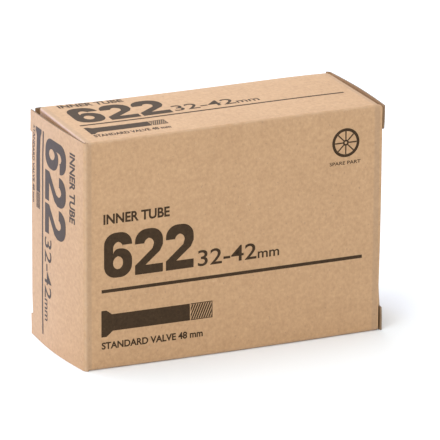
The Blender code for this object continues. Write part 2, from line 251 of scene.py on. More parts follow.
WRINKLE, WRINKLES_PER_METRE = 0.35 * MM, 90
CRUMPLE, CRUMPLES_PER_METRE = 0.12 * MM, 240
CRUMPLE_SQUEEZE = 2.5  # how much closer crumples lie across the tube than along it
WRINKLE_OFFSET = Vector((0, 0, 7.3))
MOST_RAISED = 0.92 * MM  # puff and crumple together, over the flat tube
BEND_FADE = 9 * MM  # how far from a bend a strand puffs out in full
BAND_FADE = 6 * MM
EDGE_FADE = 7 * MM
ROUTE_STEP = 5.5 * MM
BEND_STEPS = 14
LOOP_STEPS = 28
RING_STATIONS = 13

# Valve, measured along its axis from its seat on the tube
VALVE_SEAT = Vector((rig.box("valve_base_patch")[1].x, 0, VALVE_Z))
PATCH_INSIDE = END_LOOP_RADIUS + TUBE_WALLS / 2 + 0.3 * MM
PATCH_PLATE = 0.75 * MM
PATCH_HALF_ANGLE = math.radians(62)
PATCH_HALF_WIDTH = 12.5 * MM
THREAD_PITCH = 0.8 * MM
THREAD_DEPTH = 0.38 * MM
THREAD_START = 38.3  # in millimetres, as are the valve's measures below
THREAD_RADIUS = 3.85
THREAD_RUN_OUT = 0.5
BARREL_RADIUS = 3.31  # the thread is cut only outside this
SPRING_SPAN = (33.6, 40.6)
SPRING_TURNS = 7
SPRING_CUTS = 18  # round each turn
SPRING_EVEN = 0.72  # how much of the pitch is even, and the rest closes up at both ends
SPRING_RADIUS = 1.0
SPRING_WIRE = 0.15
CAP_RIBS = 18
CAP_RIB_DEPTH = 0.35
CAP_RIB_SPAN = (40.9, 50.0)
CAP_RIB_FADES = (0.6, 1.2)  # how far the ribs fade in at each end
CAP_RIBBED_OUTSIDE = 4.4  # the ribs are cut only outside this radius
CAP_BORE = 4.15
CAP_THREAD_SPAN = (41, 48.9)
CAP_THREAD_DEPTH = 0.14

# Rubber band
BAND_X = 12 * MM
BAND_HALF_WIDTH = 2.5 * MM
BAND_HALF_THICKNESS = 0.45 * MM
BAND_CLEAR = 0.3 * MM
STEM_COVER_RADIUS = 4.3 * MM
POST_STEPS = 8

# Camera, round the middle of the sleeve
CAMERA_AZIMUTH = math.radians(-23.459)
CAMERA_ELEVATION = math.radians(18.674)
CAMERA_ROLL = math.radians(0.342)
CAMERA_DISTANCE = 17.37 * WIDTH
CAMERA_TARGET = Vector((MIDDLE + 0.038 * WIDTH, 0, 0.367 * WIDTH))
CAMERA_LENS = 451.7
CAMERA_SENSOR = 36
CAMERA_CLIP = (0.05, 20)

# Studio: the sky's strength, the floor, and each soft light's place, size, power and colour
SKY = 0.72
WHITE = (1, 1, 1)
COOL = (0.74, 0.92, 1.90)
AIM = (0, 0, 0.03)
FLOOR_HALF = 3.0
FLOOR_Z = -0.02 * MM
FLOOR = (0.91, 0.945, 0.97)
LIGHTS = (
    ("overhead", (-0.5, 0.1, 1.9), 1.5, 16.8, WHITE),
    ("left_front", (-1.5, -1.3, 1.2), 1.3, 15, WHITE),
    ("backdrop", (-0.1, 1.9, 0.8), 2.0, 19, WHITE),
    ("left_rim", (-0.9, 1.9, 0.35), 1.0, 15, COOL),
)


# Shading


class Look:
    """A Principled material and the nodes that feed it."""

    def __init__(self, name, colour, roughness, metallic=0.0, specular=0.5):
        self.material = bpy.data.materials.new(name)
        self.material.use_nodes = True
        self.material.diffuse_color = (*colour, 1)
        self.tree = self.material.node_tree
        self.shader = self.tree.nodes["Principled BSDF"]
        self.shader.inputs["Base Color"].default_value = (*colour, 1)
        self.shader.inputs["Roughness"].default_value = roughness
        self.shader.inputs["Metallic"].default_value = metallic
        self.shader.inputs["Specular IOR Level"].default_value = specular

    def node(self, kind, **settings):
        made = self.tree.nodes.new(kind)
        for key, value in settings.items():
            setattr(made, key, value)
        return made

    def feed(self, socket, value):
        """Links a node's output to a socket, or sets the socket to a number or a colour."""
        if isinstance(value, bpy.types.NodeSocket):
            self.tree.links.new(value, socket)
        else:
            socket.default_value = (*value, 1) if isinstance(value, tuple) else value

    def coordinates(self, uv=None):
        """Texture coordinates: a named UV map in metres, or the object's own."""
        if uv:
            return self.node("ShaderNodeUVMap", uv_map=uv).outputs["UV"]
        return self.node("ShaderNodeTexCoord").outputs["Object"]

    def noise(self, coordinates, size, stretch=(1, 1, 1), detail=3.0, roughness=0.55, offset=0.0):
        """Smooth noise from 0 to 1, with features of the given size, longer along an axis by stretch."""
        mapping = self.node("ShaderNodeMapping")
        mapping.inputs["Scale"].default_value = [1 / (size * s) for s in stretch]
        mapping.inputs["Location"].default_value = (offset, offset, offset)
        self.feed(mapping.inputs["Vector"], coordinates)
        texture = self.node("ShaderNodeTexNoise")
        texture.inputs["Scale"].default_value = 1.0
        texture.inputs["Detail"].default_value = detail
        texture.inputs["Roughness"].default_value = roughness
        self.feed(texture.inputs["Vector"], mapping.outputs["Vector"])
        return texture.outputs["Fac"]

    def math(self, operation, first, second, clamp=False):
        made = self.node("ShaderNodeMath", operation=operation, use_clamp=clamp)
        self.feed(made.inputs[0], first)
        self.feed(made.inputs[1], second)
        return made.outputs["Value"]

    def weighted(self, *terms, base=0.5):
        """base plus each noise's swing about its middle, times its weight."""
        total = base
        for value, weight in terms:
            swing = self.math("MULTIPLY", self.math("SUBTRACT", value, 0.5), weight)
            total = self.math("ADD", swing, total)
        return total

    def step(self, value, low, high):
        """0 below low and 1 above high, smooth between."""
        made = self.node("ShaderNodeMapRange", interpolation_type="SMOOTHSTEP")
        made.inputs["From Min"].default_value = low
        made.inputs["From Max"].default_value = high
        self.feed(made.inputs["Value"], value)
        return made.outputs["Result"]

    def mix(self, factor, first, second):
        """The colour first where factor is 0 and second where it is 1."""
        made = self.node("ShaderNodeMix", data_type="RGBA")
        self.feed(made.inputs["Factor"], factor)
        self.feed(made.inputs[6], first)  # the colour sockets share their names with the number ones
        self.feed(made.inputs[7], second)
        return made.outputs[2]

    def speckled(self, shade, spots, strength, colour):
        """A shade with spots of another colour, no stronger than strength."""
        return self.mix(self.math("MULTIPLY", spots, strength), shade, colour)

    def colour(self, value):
        self.feed(self.shader.inputs["Base Color"], value)

    def roughness(self, value):
        self.feed(self.shader.inputs["Roughness"], value)

    def bump(self, height, distance, strength=1.0):
        made = self.node("ShaderNodeBump")
        made.inputs["Distance"].default_value = distance
        made.inputs["Strength"].default_value = strength
        self.feed(made.inputs["Height"], height)
        self.feed(self.shader.inputs["Normal"], made.outputs["Normal"])


KRAFT_DARK = (0.397, 0.224, 0.102)
KRAFT_LIGHT = (0.608, 0.374, 0.195)
KRAFT_FLECK = (0.22, 0.13, 0.068)
KRAFT_PALE = (0.66, 0.50, 0.34)
KRAFT_WORN = (0.540, 0.375, 0.245)
# painted shade: the darker strip beside the sleeve's end creases, standing in for the shading of their grooves
KRAFT_CREASE_SHADE = (0.330, 0.215, 0.130)
# the inner face's kraft: its fibres and tone are the board's own, and its darkening below the outside's kraft is
# painted shade
KRAFT_INSIDE_SHADED_DARK = (0.320, 0.190, 0.098)
KRAFT_INSIDE_SHADED_LIGHT = (0.500, 0.315, 0.175)
CUT_EDGE_DARK, CUT_EDGE_LIGHT = (0.15, 0.095, 0.054), (0.33, 0.225, 0.145)
INK = (0.045, 0.028, 0.012)
INK_DARK, INK_LIGHT = (0.031, 0.016, 0.006), (0.066, 0.038, 0.017)
INK_THIN = (0.20, 0.13, 0.075)  # where the board shows through
BUTYL, BUTYL_BARE, BUTYL_DUSTY = (0.020, 0.020, 0.021), (0.014, 0.014, 0.015), (0.095, 0.095, 0.092)
CREASE_SHADE_FROM = (0.2 * MM, 0.7 * MM)  # where the strip of painted shade beside the end creases fades in, from a crease
CREASE_SHADE_TO = (2.2 * MM, 3.1 * MM)


def kraft_fibres(look):
    """The board's own tone, from 0 dark to 1 light, and its surface relief."""
    flat = look.coordinates("board")
    clouds = look.noise(flat, 24 * MM, detail=2)
    blotches = look.noise(flat, 5 * MM, detail=3, offset=3.1)
    mottle = look.noise(flat, 1.5 * MM, detail=2, roughness=0.5, offset=9.2)
    fibres = look.noise(flat, 0.7 * MM, stretch=(1, 1.6, 1), detail=3, roughness=0.6, offset=7.7)
    streaks = look.noise(flat, 2.2 * MM, stretch=(1, 7, 1), detail=2, offset=5.3)
    tone = look.weighted((clouds, 0.25), (blotches, 0.3), (mottle, 0.8), (fibres, 0.7), (streaks, 0.12))
    return tone, look.weighted((fibres, 1.0), (mottle, 0.7), (streaks, 0.4))


def kraft_look():
    look = Look("kraft_board", KRAFT_LIGHT, 0.54, specular=0.6)
    tone, relief = kraft_fibres(look)
    flat = look.coordinates("board")
    shade = look.mix(tone, KRAFT_DARK, KRAFT_LIGHT)
    flecks = look.step(look.noise(flat, 0.8 * MM, stretch=(1, 1.8, 1), detail=1, offset=11.3), 0.70, 0.78)
    pale = look.step(look.noise(flat, 0.7 * MM, stretch=(2.2, 1, 1), detail=1, offset=15.9), 0.72, 0.80)
    shade = look.speckled(shade, flecks, 0.4, KRAFT_FLECK)
    shade = look.speckled(shade, pale, 0.35, KRAFT_PALE)
    # painted shade: a darker strip beside the sleeve's end creases, in place of their grooves' shading
    shade = look.speckled(shade, painted_crease_shade(look, flat), 0.35, KRAFT_CREASE_SHADE)
    crease = look.node("ShaderNodeAttribute", attribute_name="crease").outputs["Fac"]
    scuffed = look.weighted((look.noise(flat, 2.5 * MM, detail=3, offset=8.8), 1.2), base=0.45)
    worn = look.math("MULTIPLY", crease, scuffed, clamp=True)
    look.colour(look.mix(worn, shade, KRAFT_WORN))
    look.bump(relief, 0.03 * MM, 0.5)
    return look.material


def painted_crease_shade(look, flat):
    """1 in the strip beside each end of the sleeve that is painted darker as the shade of the crease's groove, else 0.
    """
    apart = look.node("ShaderNodeSeparateXYZ")
    look.feed(apart.inputs["Vector"], flat)
    along = apart.outputs["X"]
    from_end = look.math("MINIMUM", along, look.math("SUBTRACT", WIDTH, along))
    inner_side = look.step(look.math("MULTIPLY", from_end, -1), -CREASE_SHADE_TO[1], -CREASE_SHADE_TO[0])
    return look.math("MULTIPLY", look.step(from_end, *CREASE_SHADE_FROM), inner_side)


# the board's inner face, painted about a fifth darker than the outside as shade for the gaps at the carton's ends
def shaded_inside_look():
    look = Look("kraft_inside", KRAFT_INSIDE_SHADED_DARK, 0.9, specular=0.2)
    tone, relief = kraft_fibres(look)
    look.colour(look.mix(tone, KRAFT_INSIDE_SHADED_DARK, KRAFT_INSIDE_SHADED_LIGHT))
    look.bump(relief, 0.05 * MM, 0.6)
    return look.material


def cut_edge_look():
    look = Look("board_cut_edge", KRAFT_DARK, 0.9, specular=0.3)
    fray = look.noise(look.coordinates(), 0.6 * MM, detail=4, roughness=0.7)
    look.colour(look.mix(fray, CUT_EDGE_DARK, CUT_EDGE_LIGHT))
    look.bump(fray, 0.05 * MM)
    return look.material


def ink_look(name, specular):
    look = Look(name, INK, 0.6, specular=specular)
    tone, relief = kraft_fibres(look)
    flat = look.coordinates("board")
    thin = look.step(look.noise(flat, 0.45 * MM, detail=2, roughness=0.7, offset=21.7), 0.62, 0.80)
    look.colour(look.speckled(look.mix(tone, INK_DARK, INK_LIGHT), thin, 0.35, INK_THIN))
    look.bump(relief, 0.03 * MM, 0.5)
    return look.material


def butyl_look():
    """Matt black rubber with a bloom of talc, thicker in patches."""
    look = Look("butyl_rubber", BUTYL, 0.6, specular=0.4)
    place = look.coordinates()
    patches = look.noise(place, 9 * MM, detail=4, roughness=0.6)
    dust = look.noise(place, 0.5 * MM, detail=3, roughness=0.7, offset=4.2)
    bloom = look.step(look.weighted((patches, 1.0), (dust, 0.7)), 0.42, 0.80)
    look.colour(look.mix(bloom, BUTYL_BARE, BUTYL_DUSTY))
    look.roughness(look.weighted((patches, 0.25), (dust, 0.2), base=0.58))
    creping = look.noise(place, 2.2 * MM, detail=2, offset=7.1)
    look.bump(look.weighted((dust, 0.5), (creping, 1.0)), 0.12 * MM, 0.5)
    return look.material


def rubber_look(name, dark, light, roughness):
    look = Look(name, dark, roughness, specular=0.4)
    place = look.coordinates()
    grain = look.noise(place, 0.35 * MM, detail=3, roughness=0.6)
    smear = look.noise(place, 4 * MM, detail=3, offset=6.6)
    look.colour(look.mix(look.weighted((grain, 0.5), (smear, 0.9)), dark, light))
    look.roughness(look.weighted((smear, 0.3), base=roughness))
    look.bump(grain, 0.03 * MM, 0.5)
    return look.material


def metal_look(name, dark, light, roughness):
    """Turned metal, with fine marks round the valve's axis and a little tarnish."""
    look = Look(name, light, roughness, metallic=1.0)
    place = look.coordinates()
    turning = look.noise(place, 0.08 * MM, stretch=(1, 60, 60), detail=2)
    tarnish = look.noise(place, 1.8 * MM, detail=4, roughness=0.65, offset=2.4)
    look.colour(look.mix(look.weighted((tarnish, 1.1), (turning, 0.3)), dark, light))
    look.roughness(look.weighted((turning, 0.25), (tarnish, 0.2), base=roughness))
    look.bump(turning, 0.006 * MM, 0.5)
    return look.material


# Board geometry


def stops(low, high, step):
    """Evenly spaced values from low to high, no further apart than step."""
    count = max(1, math.ceil((high - low) / step - 1e-6))
    return [low + (high - low) * i / count for i in range(count + 1)]


def crease_stops(middle, span):
    return [middle + span * (2 * i / CREASE_CUTS - 1) for i in range(CREASE_CUTS + 1)]


def arc(x, y, radius, start, end, steps):
    """Points on a circular arc, with angles in radians."""
    angles = [start + (end - start) * i / steps for i in range(steps + 1)]
    return [(x + radius * math.cos(a), y + radius * math.sin(a)) for a in angles]


def corner(x, y, radius, start, way=1, steps=8):
    """A quarter circle round (x, y), from start right angles, turning by the sign of way."""
    return arc(x, y, radius, start * math.pi / 2, (start + way) * math.pi / 2, steps)


def cut(flat, axis, places):
    """Splits a flat bmesh along lines at the given places on one axis."""
    normal = Vector((0, 0, 0))
    normal[axis] = 1
    for place in places:
        geometry = [*flat.verts, *flat.edges, *flat.faces]
        bmesh.ops.bisect_plane(flat, geom=geometry, dist=1e-9, plane_co=normal * place, plane_no=normal)


def flat_outline(outline, cuts_a, cuts_b):
    """A flat bmesh of an outline, cut into a grid so that it can be curved."""
    flat = bmesh.new()
    flat.faces.new([flat.verts.new((a, b, 0)) for a, b in outline])
    cut(flat, 0, cuts_a)
    cut(flat, 1, cuts_b)
    return flat


def thicken(name, flat, place, depths, uv, looks, crease=None):
    """A closed body from a flat bmesh: its faces at two depths under a curved surface, joined at their rims.

    place(a, b, depth) gives a position and uv(a, b) a texture coordinate. looks are the materials of the
    outer face, the inner face and the rim, or one for all of them. crease(a, b) gives how near a fold a point
    is, from 0 to 1.
    """
    solid = bmesh.new()
    uv_layer = solid.loops.layers.uv.new("board")
    crease_layer = solid.verts.layers.float.new("crease")
    flat_place = {}
    layers = []
    for depth in depths:
        layer = []
        for vert in flat.verts:
            made = solid.verts.new(place(vert.co.x, vert.co.y, depth))
            made[crease_layer] = crease(vert.co.x, vert.co.y) if crease else 0
            flat_place[made] = (vert.co.x, vert.co.y)
            layer.append(made)
        layers.append(layer)
    flat.verts.index_update()
    outer, inner = layers
    for face in flat.faces:
        solid.faces.new([outer[v.index] for v in face.verts])
        back = solid.faces.new([inner[v.index] for v in reversed(face.verts)])
        back.material_index = len(looks) // 2
    for edge in flat.edges:
        if len(edge.link_faces) == 1:
            i, j = (v.index for v in edge.verts)
            rim = solid.faces.new((outer[i], outer[j], inner[j], inner[i]))
            rim.material_index = len(looks) - 1
    flat.free()
    for face in solid.faces:
        face.smooth = True
        for loop in face.loops:
            loop[uv_layer].uv = uv(*flat_place[loop.vert])
    bmesh.ops.recalc_face_normals(solid, faces=solid.faces)
    return finished(name, solid, looks)


def finished(name, bm, looks):
    """A named object from a bmesh, with its materials and its sharp edges marked."""
    mesh = bpy.data.meshes.new(name)
    bm.to_mesh(mesh)
    bm.free()
    for look in looks:
        mesh.materials.append(look)
    made = bpy.data.objects.new(name, mesh)
    bpy.context.scene.collection.objects.link(made)
    mesh.shade_smooth()
    mesh.set_sharp_from_angle(angle=SHARP_ANGLE)
    return made


def fold(s, span, before, after, outward):
    """A point and the outward normal on the outer face of a folded board, in section, from the fold's corner.

    s is the distance along the board, 0 at the corner. before and after are unit vectors from the corner
    along the two panels. outward is 1 where the outside is to the left of the way of travel, and -1 where it
    is to the right.
    """
    if s <= -span:
        point, way = before * -s, -before
    elif s >= span:
        point, way = after * s, after
    else:
        t = (s + span) / (2 * span)
        point = before * (span * (1 - t) ** 2) + after * (span * t * t)
        way = (after * t - before * (1 - t)).normalized()
    return point, Vector((-way.y, way.x)) * outward


def near_fold(distance, width=CREASE_MARK):
    return math.exp(-((distance / width) ** 2))


def columns(span, far):
    """Places to cut a panel from its crease, at 0, to its far edge."""
    return crease_stops(0, span)[1:] + stops(span, far, GRID)[1:-1]


# Sleeve: u runs along the carton from its left edge, and b round it from the foot of the front panel

TAB_CORNER = Vector((BACK - BOARD - 0.05 * MM, 0))
SLEEVE_CORNERS = (
    (FRONT - TAB_CORNER.x, TAB_CORNER, GIRTH_CREASE),
    (0, Vector((FRONT, 0)), FOOT_CREASE),
    (TOP, Vector((FRONT, TOP)), GIRTH_CREASE),
    (TOP + DEPTH, Vector((BACK, TOP)), GIRTH_CREASE),
)
SLEEVE_END = 2 * TOP + DEPTH


def sleeve_section(b):
    """Point and outward normal in (y, z) on the sleeve's outer face."""
    index = min(range(len(SLEEVE_CORNERS)), key=lambda i: abs(b - SLEEVE_CORNERS[i][0]))
    girth, corner, span = SLEEVE_CORNERS[index]
    before, after = Vector((0, 1)), Vector((0, -1))
    if index > 0:
        before = (SLEEVE_CORNERS[index - 1][1] - corner).normalized()
    if index < len(SLEEVE_CORNERS) - 1:
        after = (SLEEVE_CORNERS[index + 1][1] - corner).normalized()
    point, normal = fold(b - girth, span, before, after, 1)
    return corner + point, normal


def smooth(share):
    share = min(max(share, 0), 1)
    return share * share * (3 - 2 * share)


def sleeve_bow(u, b):
    """How far the filled sleeve stands off its flat panels, in (y, z)."""
    along = min(max(u / WIDTH, 0), 1)
    left_end_rise = LEFT_END_RISE * (1 - smooth(LEFT_END_RATE * along))
    back_rise = TOP_BOW * math.sin(math.pi * along**TOP_BOW_SKEW) + left_end_rise
    front_rise = FRONT_LIFT * smooth(FRONT_LIFT_RATE * along)
    arch = math.sin(math.pi * along)
    if b > TOP + DEPTH:
        down = (b - TOP - DEPTH) / TOP
        return Vector((BACK_BOW * arch * math.sin(math.pi * down), back_rise * (1 - down) ** 2))
    if b > TOP:
        across = (b - TOP) / DEPTH
        return Vector((0, front_rise * (1 - across) + back_rise * across))
    if b > 0:
        up = b / TOP
        bulge = FRONT_BOW * math.sin(math.pi * up) + FOOT_BOW * (1 - smooth(FOOT_UP_RATE * up))
        return Vector((-bulge * arch, front_rise * up**2))
    return Vector((-FOOT_BOW * arch * (1 - smooth(-FOOT_UNDER_RATE * b / DEPTH)), 0))


def sleeve_point(u, b, depth):
    point, normal = sleeve_section(b)
    y, z = point - normal * depth + sleeve_bow(u, b)
    return Vector((LEFT + u, y, z))


def sleeve_uv(u, b):
    """Where a sleeve point lies on the blank that the whole carton is cut from."""
    return u, b


def sleeve_outline():
    """The sleeve's blank, up one side and down the other.

    The closure's cuts on the right are the left's, turned half round.
    """
    tab_end = SLEEVE_CORNERS[0][0]
    tab_tip, tab_side = GLUE_TAB_TAPER + FLAP_INSET, FLAP_INSET + 2 * CUT_GAP
    flap_edge = FLAP_INSET + FLAP_CREASE
    back_top = TOP + DEPTH
    closure_side = [
        (HINGE_CREASE, CLOSURE_LOW),
        (HINGE_CREASE, CLOSURE_HIGH),
        (FRONT_NIB, CLOSURE_HIGH + CUT_GAP),
        (FRONT_NIB, TOP + FLAP_INSET),
        (flap_edge, TOP + FLAP_NEAR),
        (flap_edge, TOP + FLAP_FAR_EAR),
    ]
    left = [
        (tab_tip, tab_end - GLUE_TAB_WIDTH),
        (tab_side, tab_end - FLAP_INSET),
        (flap_edge, tab_end + FLAP_INSET),
        (flap_edge, -FLAP_NEAR),
        *closure_side,
        (2 * CUT_GAP, back_top - 2 * FLAP_INSET),
        (-BACK_NIB, back_top - FLAP_INSET / 2),
        (-BACK_NIB, back_top + GIRTH_CREASE),
        (0, SLEEVE_END - TOP / 2),
        (0, SLEEVE_END),
    ]
    right = [
        *((WIDTH - u, SLEEVE_END - b) for u, b in closure_side),
        (WIDTH - CUT_GAP, TOP + FLAP_INSET / 2),
        (WIDTH + RIGHT_SPREAD, TOP - GIRTH_CREASE),
        *((WIDTH + RIGHT_SPREAD * out, TOP * up) for out, up in RIGHT_EDGE),
        (WIDTH - CUT_GAP, -FLAP_INSET / 2),
        (WIDTH - flap_edge, -FLAP_INSET),
        (WIDTH - flap_edge, tab_end + FLAP_NEAR),
        (WIDTH - tab_side, tab_end - FLAP_INSET),
        (WIDTH - tab_tip, tab_end - GLUE_TAB_WIDTH),
    ]
    return left + right


def build_sleeve(board):
    rows = [b for girth, _, span in SLEEVE_CORNERS for b in crease_stops(girth, span)]
    for (low, _, low_span), (high, _, high_span) in zip(SLEEVE_CORNERS, SLEEVE_CORNERS[1:]):
        rows += stops(low + low_span, high - high_span, GRID)
    rows += stops(TOP + DEPTH + GIRTH_CREASE, SLEEVE_END, GRID)[:-1]
    flat = flat_outline(sleeve_outline(), stops(0, WIDTH, GRID)[1:-1], sorted(set(rows)))

    def crease(_, b):
        return max(near_fold(b - girth) for girth, _, _ in SLEEVE_CORNERS)

    sleeve = thicken("carton_sleeve", flat, sleeve_point, (0, BOARD), sleeve_uv, board, crease)
    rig.replaces(sleeve, "front_panel", "back_panel", "top_panel", "bottom_panel", "glue_tab")
    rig.slot(sleeve, "kraft_board")
    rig.ride(sleeve, "carton")


# Carton ends


class End:
    """One end of the carton: its own frame starts at the closure's hinge, x into the carton and y across it.

    shoulder is the height of the uncreased stretches beside the lip. belly is how far the closure bows out
    halfway along its reach, at its foot and its top, and brim how far its free edge does at half height. lift
    is how far its top edge is raised.
    """

    def __init__(self, side, shoulder, belly, brim, lift):
        self.side = side
        self.turn = 1 if side == "left" else -1
        self.corner = Vector(JOINTS[f"{side}_closure_hinge"]["pos_m"])
        crease = Vector(JOINTS[f"{side}_lip_crease"]["pos_m"])
        away = (crease - self.corner) * self.turn
        self.reach = away.length + LIP_OUTSET
        self.closure_way = Vector((away.x, away.y)).normalized()
        self.lip_corner = self.closure_way * self.reach
        self.lip_way = Vector((math.cos(LIP_LEAN), -math.sin(LIP_LEAN)))
        self.panel_way = Vector((1, 0))
        self.closure_out = Vector((-self.closure_way.y, self.closure_way.x))
        self.shoulder = shoulder
        self.belly = belly
        self.brim = brim
        self.lift = lift

    def place(self, x, y, z):
        return Vector((self.corner.x + self.turn * x, self.corner.y + self.turn * y, z))

    def bow(self, share, z):
        """How far the closure stands out of its plane, at a share of its reach."""
        height = z / TOP
        foot, top = self.belly
        belly = (foot + (top - foot) * height) * math.sin(math.pi * min(share, 1))
        above, below = (smooth((gap / self.shoulder - 0.5) / 1.5) for gap in (z, TOP - z))
        return belly + self.brim * share**2 * above * below

    def raised(self, z):
        return z + self.lift * (z / TOP) ** 2

    def closure_point(self, a, z, depth):
        point, normal = fold(a, HINGE_CREASE, self.panel_way, self.closure_way, 1)
        share = max(a / self.reach, 0)
        point = point - normal * depth + self.closure_out * self.bow(share, z)
        return self.place(point.x, point.y, self.raised(z))

    def lip_point(self, s, z, depth):
        point, normal = fold(s, LIP_CREASE, -self.closure_way, self.lip_way, 1)
        share = min((self.reach + s) / self.reach, 1)
        settled = 1 - LIP_SETTLE * max(s, 0) / LIP_LENGTH
        point = self.lip_corner + point - normal * depth + self.closure_out * self.bow(share, z) * settled
        return self.place(point.x, point.y, self.raised(z))

    def flap_point(self, level, s, across, depth):
        """level is 1 for the top flap and -1 for the bottom one."""
        point, normal = fold(s, FLAP_CREASE, Vector((1, 0)), Vector((0, -level)), -level)
        x, z = point - normal * depth
        if level > 0:
            z += TOP + sleeve_bow(*self.flap_uv(level, 0, across)).y
        return self.place(FLAP_INSET + x, across, z)

    def board_uv(self, a, z):
        """Where a closure point lies on the blank that the whole carton is cut from."""
        return (-a, z) if self.turn > 0 else (WIDTH + a, SLEEVE_END - z)

    def flap_uv(self, level, s, across):
        u = FLAP_INSET - s if self.turn > 0 else WIDTH - FLAP_INSET + s
        from_front = across if self.turn > 0 else DEPTH - across
        return (u, TOP + from_front if level > 0 else -from_front)

    def blend(self, piece, parent, child, corner, span, before, after):
        """Bends a piece at its crease. The two bodies meet between the ends of the crease's inner face."""
        half = (span - BOARD) / 2
        start, end = corner + (before - after) * half, corner + (after - before) * half
        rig.blend(piece, parent, child, start=self.place(*start, 0), end=self.place(*end, 0))


def end_panel(name, node, outline, cuts, rows, place, uv, board, mark=CREASE_MARK):
    """A panel of one end, in place of its CAD node, with its crease at 0 along the outline's first axis."""
    flat = flat_outline(outline, cuts, stops(*rows, GRID)[1:-1])
    panel = thicken(name, flat, place, (0, BOARD), uv, board, lambda a, b: near_fold(a, mark))
    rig.replaces(panel, node)
    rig.slot(panel, "kraft_board")
    return panel


def build_closure(end, board):
    near, far = -HINGE_CREASE, end.reach - LIP_CREASE
    low, high = CLOSURE_LOW, CLOSURE_HIGH
    outline = [
        (near, low),
        (CLOSURE_FULL_REACH, low),
        (CLOSURE_FULL_REACH, low + end.shoulder - CUT_GAP),
        (far, low + end.shoulder),
        (far, high - end.shoulder),
        (CLOSURE_FULL_REACH, high - end.shoulder + CUT_GAP),
        (CLOSURE_FULL_REACH, high),
        (near, high),
    ]
    cuts = [*columns(HINGE_CREASE, far), far, end.reach]
    closure, rows, place = f"{end.side}_closure", (low, high), end.closure_point
    name, node = f"{closure}_board", f"{closure}_panel"
    panel = end_panel(name, node, outline, cuts, rows, place, end.board_uv, board, HINGE_MARK)
    end.blend(panel, "carton", closure, Vector((0, 0)), HINGE_CREASE, end.panel_way, end.closure_way)


def build_lip(end, board):
    low, high = CLOSURE_LOW + end.shoulder + CUT_GAP / 4, CLOSURE_HIGH - end.shoulder - CUT_GAP / 4
    round_x = LIP_LENGTH - LIP_CORNER
    outline = [
        (-LIP_CREASE, low),
        (CUT_GAP, low),
        (3 * CUT_GAP, LIP_INSET),
        *corner(round_x, LIP_INSET + LIP_CORNER, LIP_CORNER, -1, steps=6),
        *corner(round_x, TOP - LIP_INSET - LIP_CORNER, LIP_CORNER, 0, steps=6),
        (3 * CUT_GAP, TOP - LIP_INSET),
        (CUT_GAP, high),
        (-LIP_CREASE, high),
    ]

    def uv(s, z):
        return end.board_uv(end.reach + s, z)

    closure, lip, name = f"{end.side}_closure", f"{end.side}_lip", f"{end.side}_lip_board"
    cuts = columns(LIP_CREASE, LIP_LENGTH)
    panel = end_panel(name, f"{end.side}_tuck_lip", outline, cuts, (low, high), end.lip_point, uv, board)
    end.blend(panel, closure, lip, end.lip_corner, LIP_CREASE, -end.closure_way, end.lip_way)


def build_flap(end, level, board):
    outline = [
        (-FLAP_CREASE, FLAP_NEAR),
        (FLAP_CREASE, FLAP_NEAR),
        (FLAP_LENGTH, FLAP_TIP_START),
        *corner(FLAP_LENGTH - FLAP_CORNER, FLAP_FAR - FLAP_CORNER, FLAP_CORNER, 0, steps=6),
        (FLAP_EAR, FLAP_FAR),
        (FLAP_EAR, FLAP_FAR_EAR),
        (-FLAP_CREASE, FLAP_FAR_EAR),
    ]

    def place(s, across, depth):
        return end.flap_point(level, s, across, depth)

    def uv(s, across):
        return end.flap_uv(level, s, across)

    flap = f"{end.side}_{'top' if level > 0 else 'bottom'}"
    name, node, rows = f"{flap}_flap_board", f"{flap}_dust_flap", (FLAP_NEAR, FLAP_FAR_EAR)
    panel = end_panel(name, node, outline, columns(FLAP_CREASE, FLAP_LENGTH), rows, place, uv, board)
    half = (FLAP_CREASE - BOARD) / 2
    crease_z = TOP if level > 0 else 0
    start, finish = (end.place(FLAP_INSET + d, 0, crease_z + level * d) for d in (half, -half))
    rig.blend(panel, "carton", f"{flap}_flap", start=start, end=finish)


# Printing


def curve_shapes(loops):
    """A flat mesh that fills closed loops of (x, y) points, with loops inside others as holes."""
    curve = bpy.data.curves.new("shapes", "CURVE")
    curve.dimensions = "2D"
    curve.fill_mode = "BOTH"
    for loop in loops:
        spline = curve.splines.new("POLY")
        spline.points.add(len(loop) - 1)
        for point, (x, y) in zip(spline.points, loop):
            point.co = (x, y, 0, 1)
        spline.use_cyclic_u = True
    return flat_mesh(curve)


def text_shapes(words, size, weight):
    """A flat mesh of words in the built-in font, with the baseline at 0 and strokes widened by weight."""
    curve = bpy.data.curves.new("words", "FONT")
    curve.body = words
    curve.size = size
    curve.offset = weight
    return flat_mesh(curve)


def flat_mesh(curve):
    """Turns a filled curve or text into a mesh of its own, and removes the curve."""
    thing = bpy.data.objects.new(curve.name, curve)
    bpy.context.scene.collection.objects.link(thing)
    bpy.context.view_layer.update()
    mesh = bpy.data.meshes.new_from_object(thing)
    bpy.data.objects.remove(thing)
    return mesh


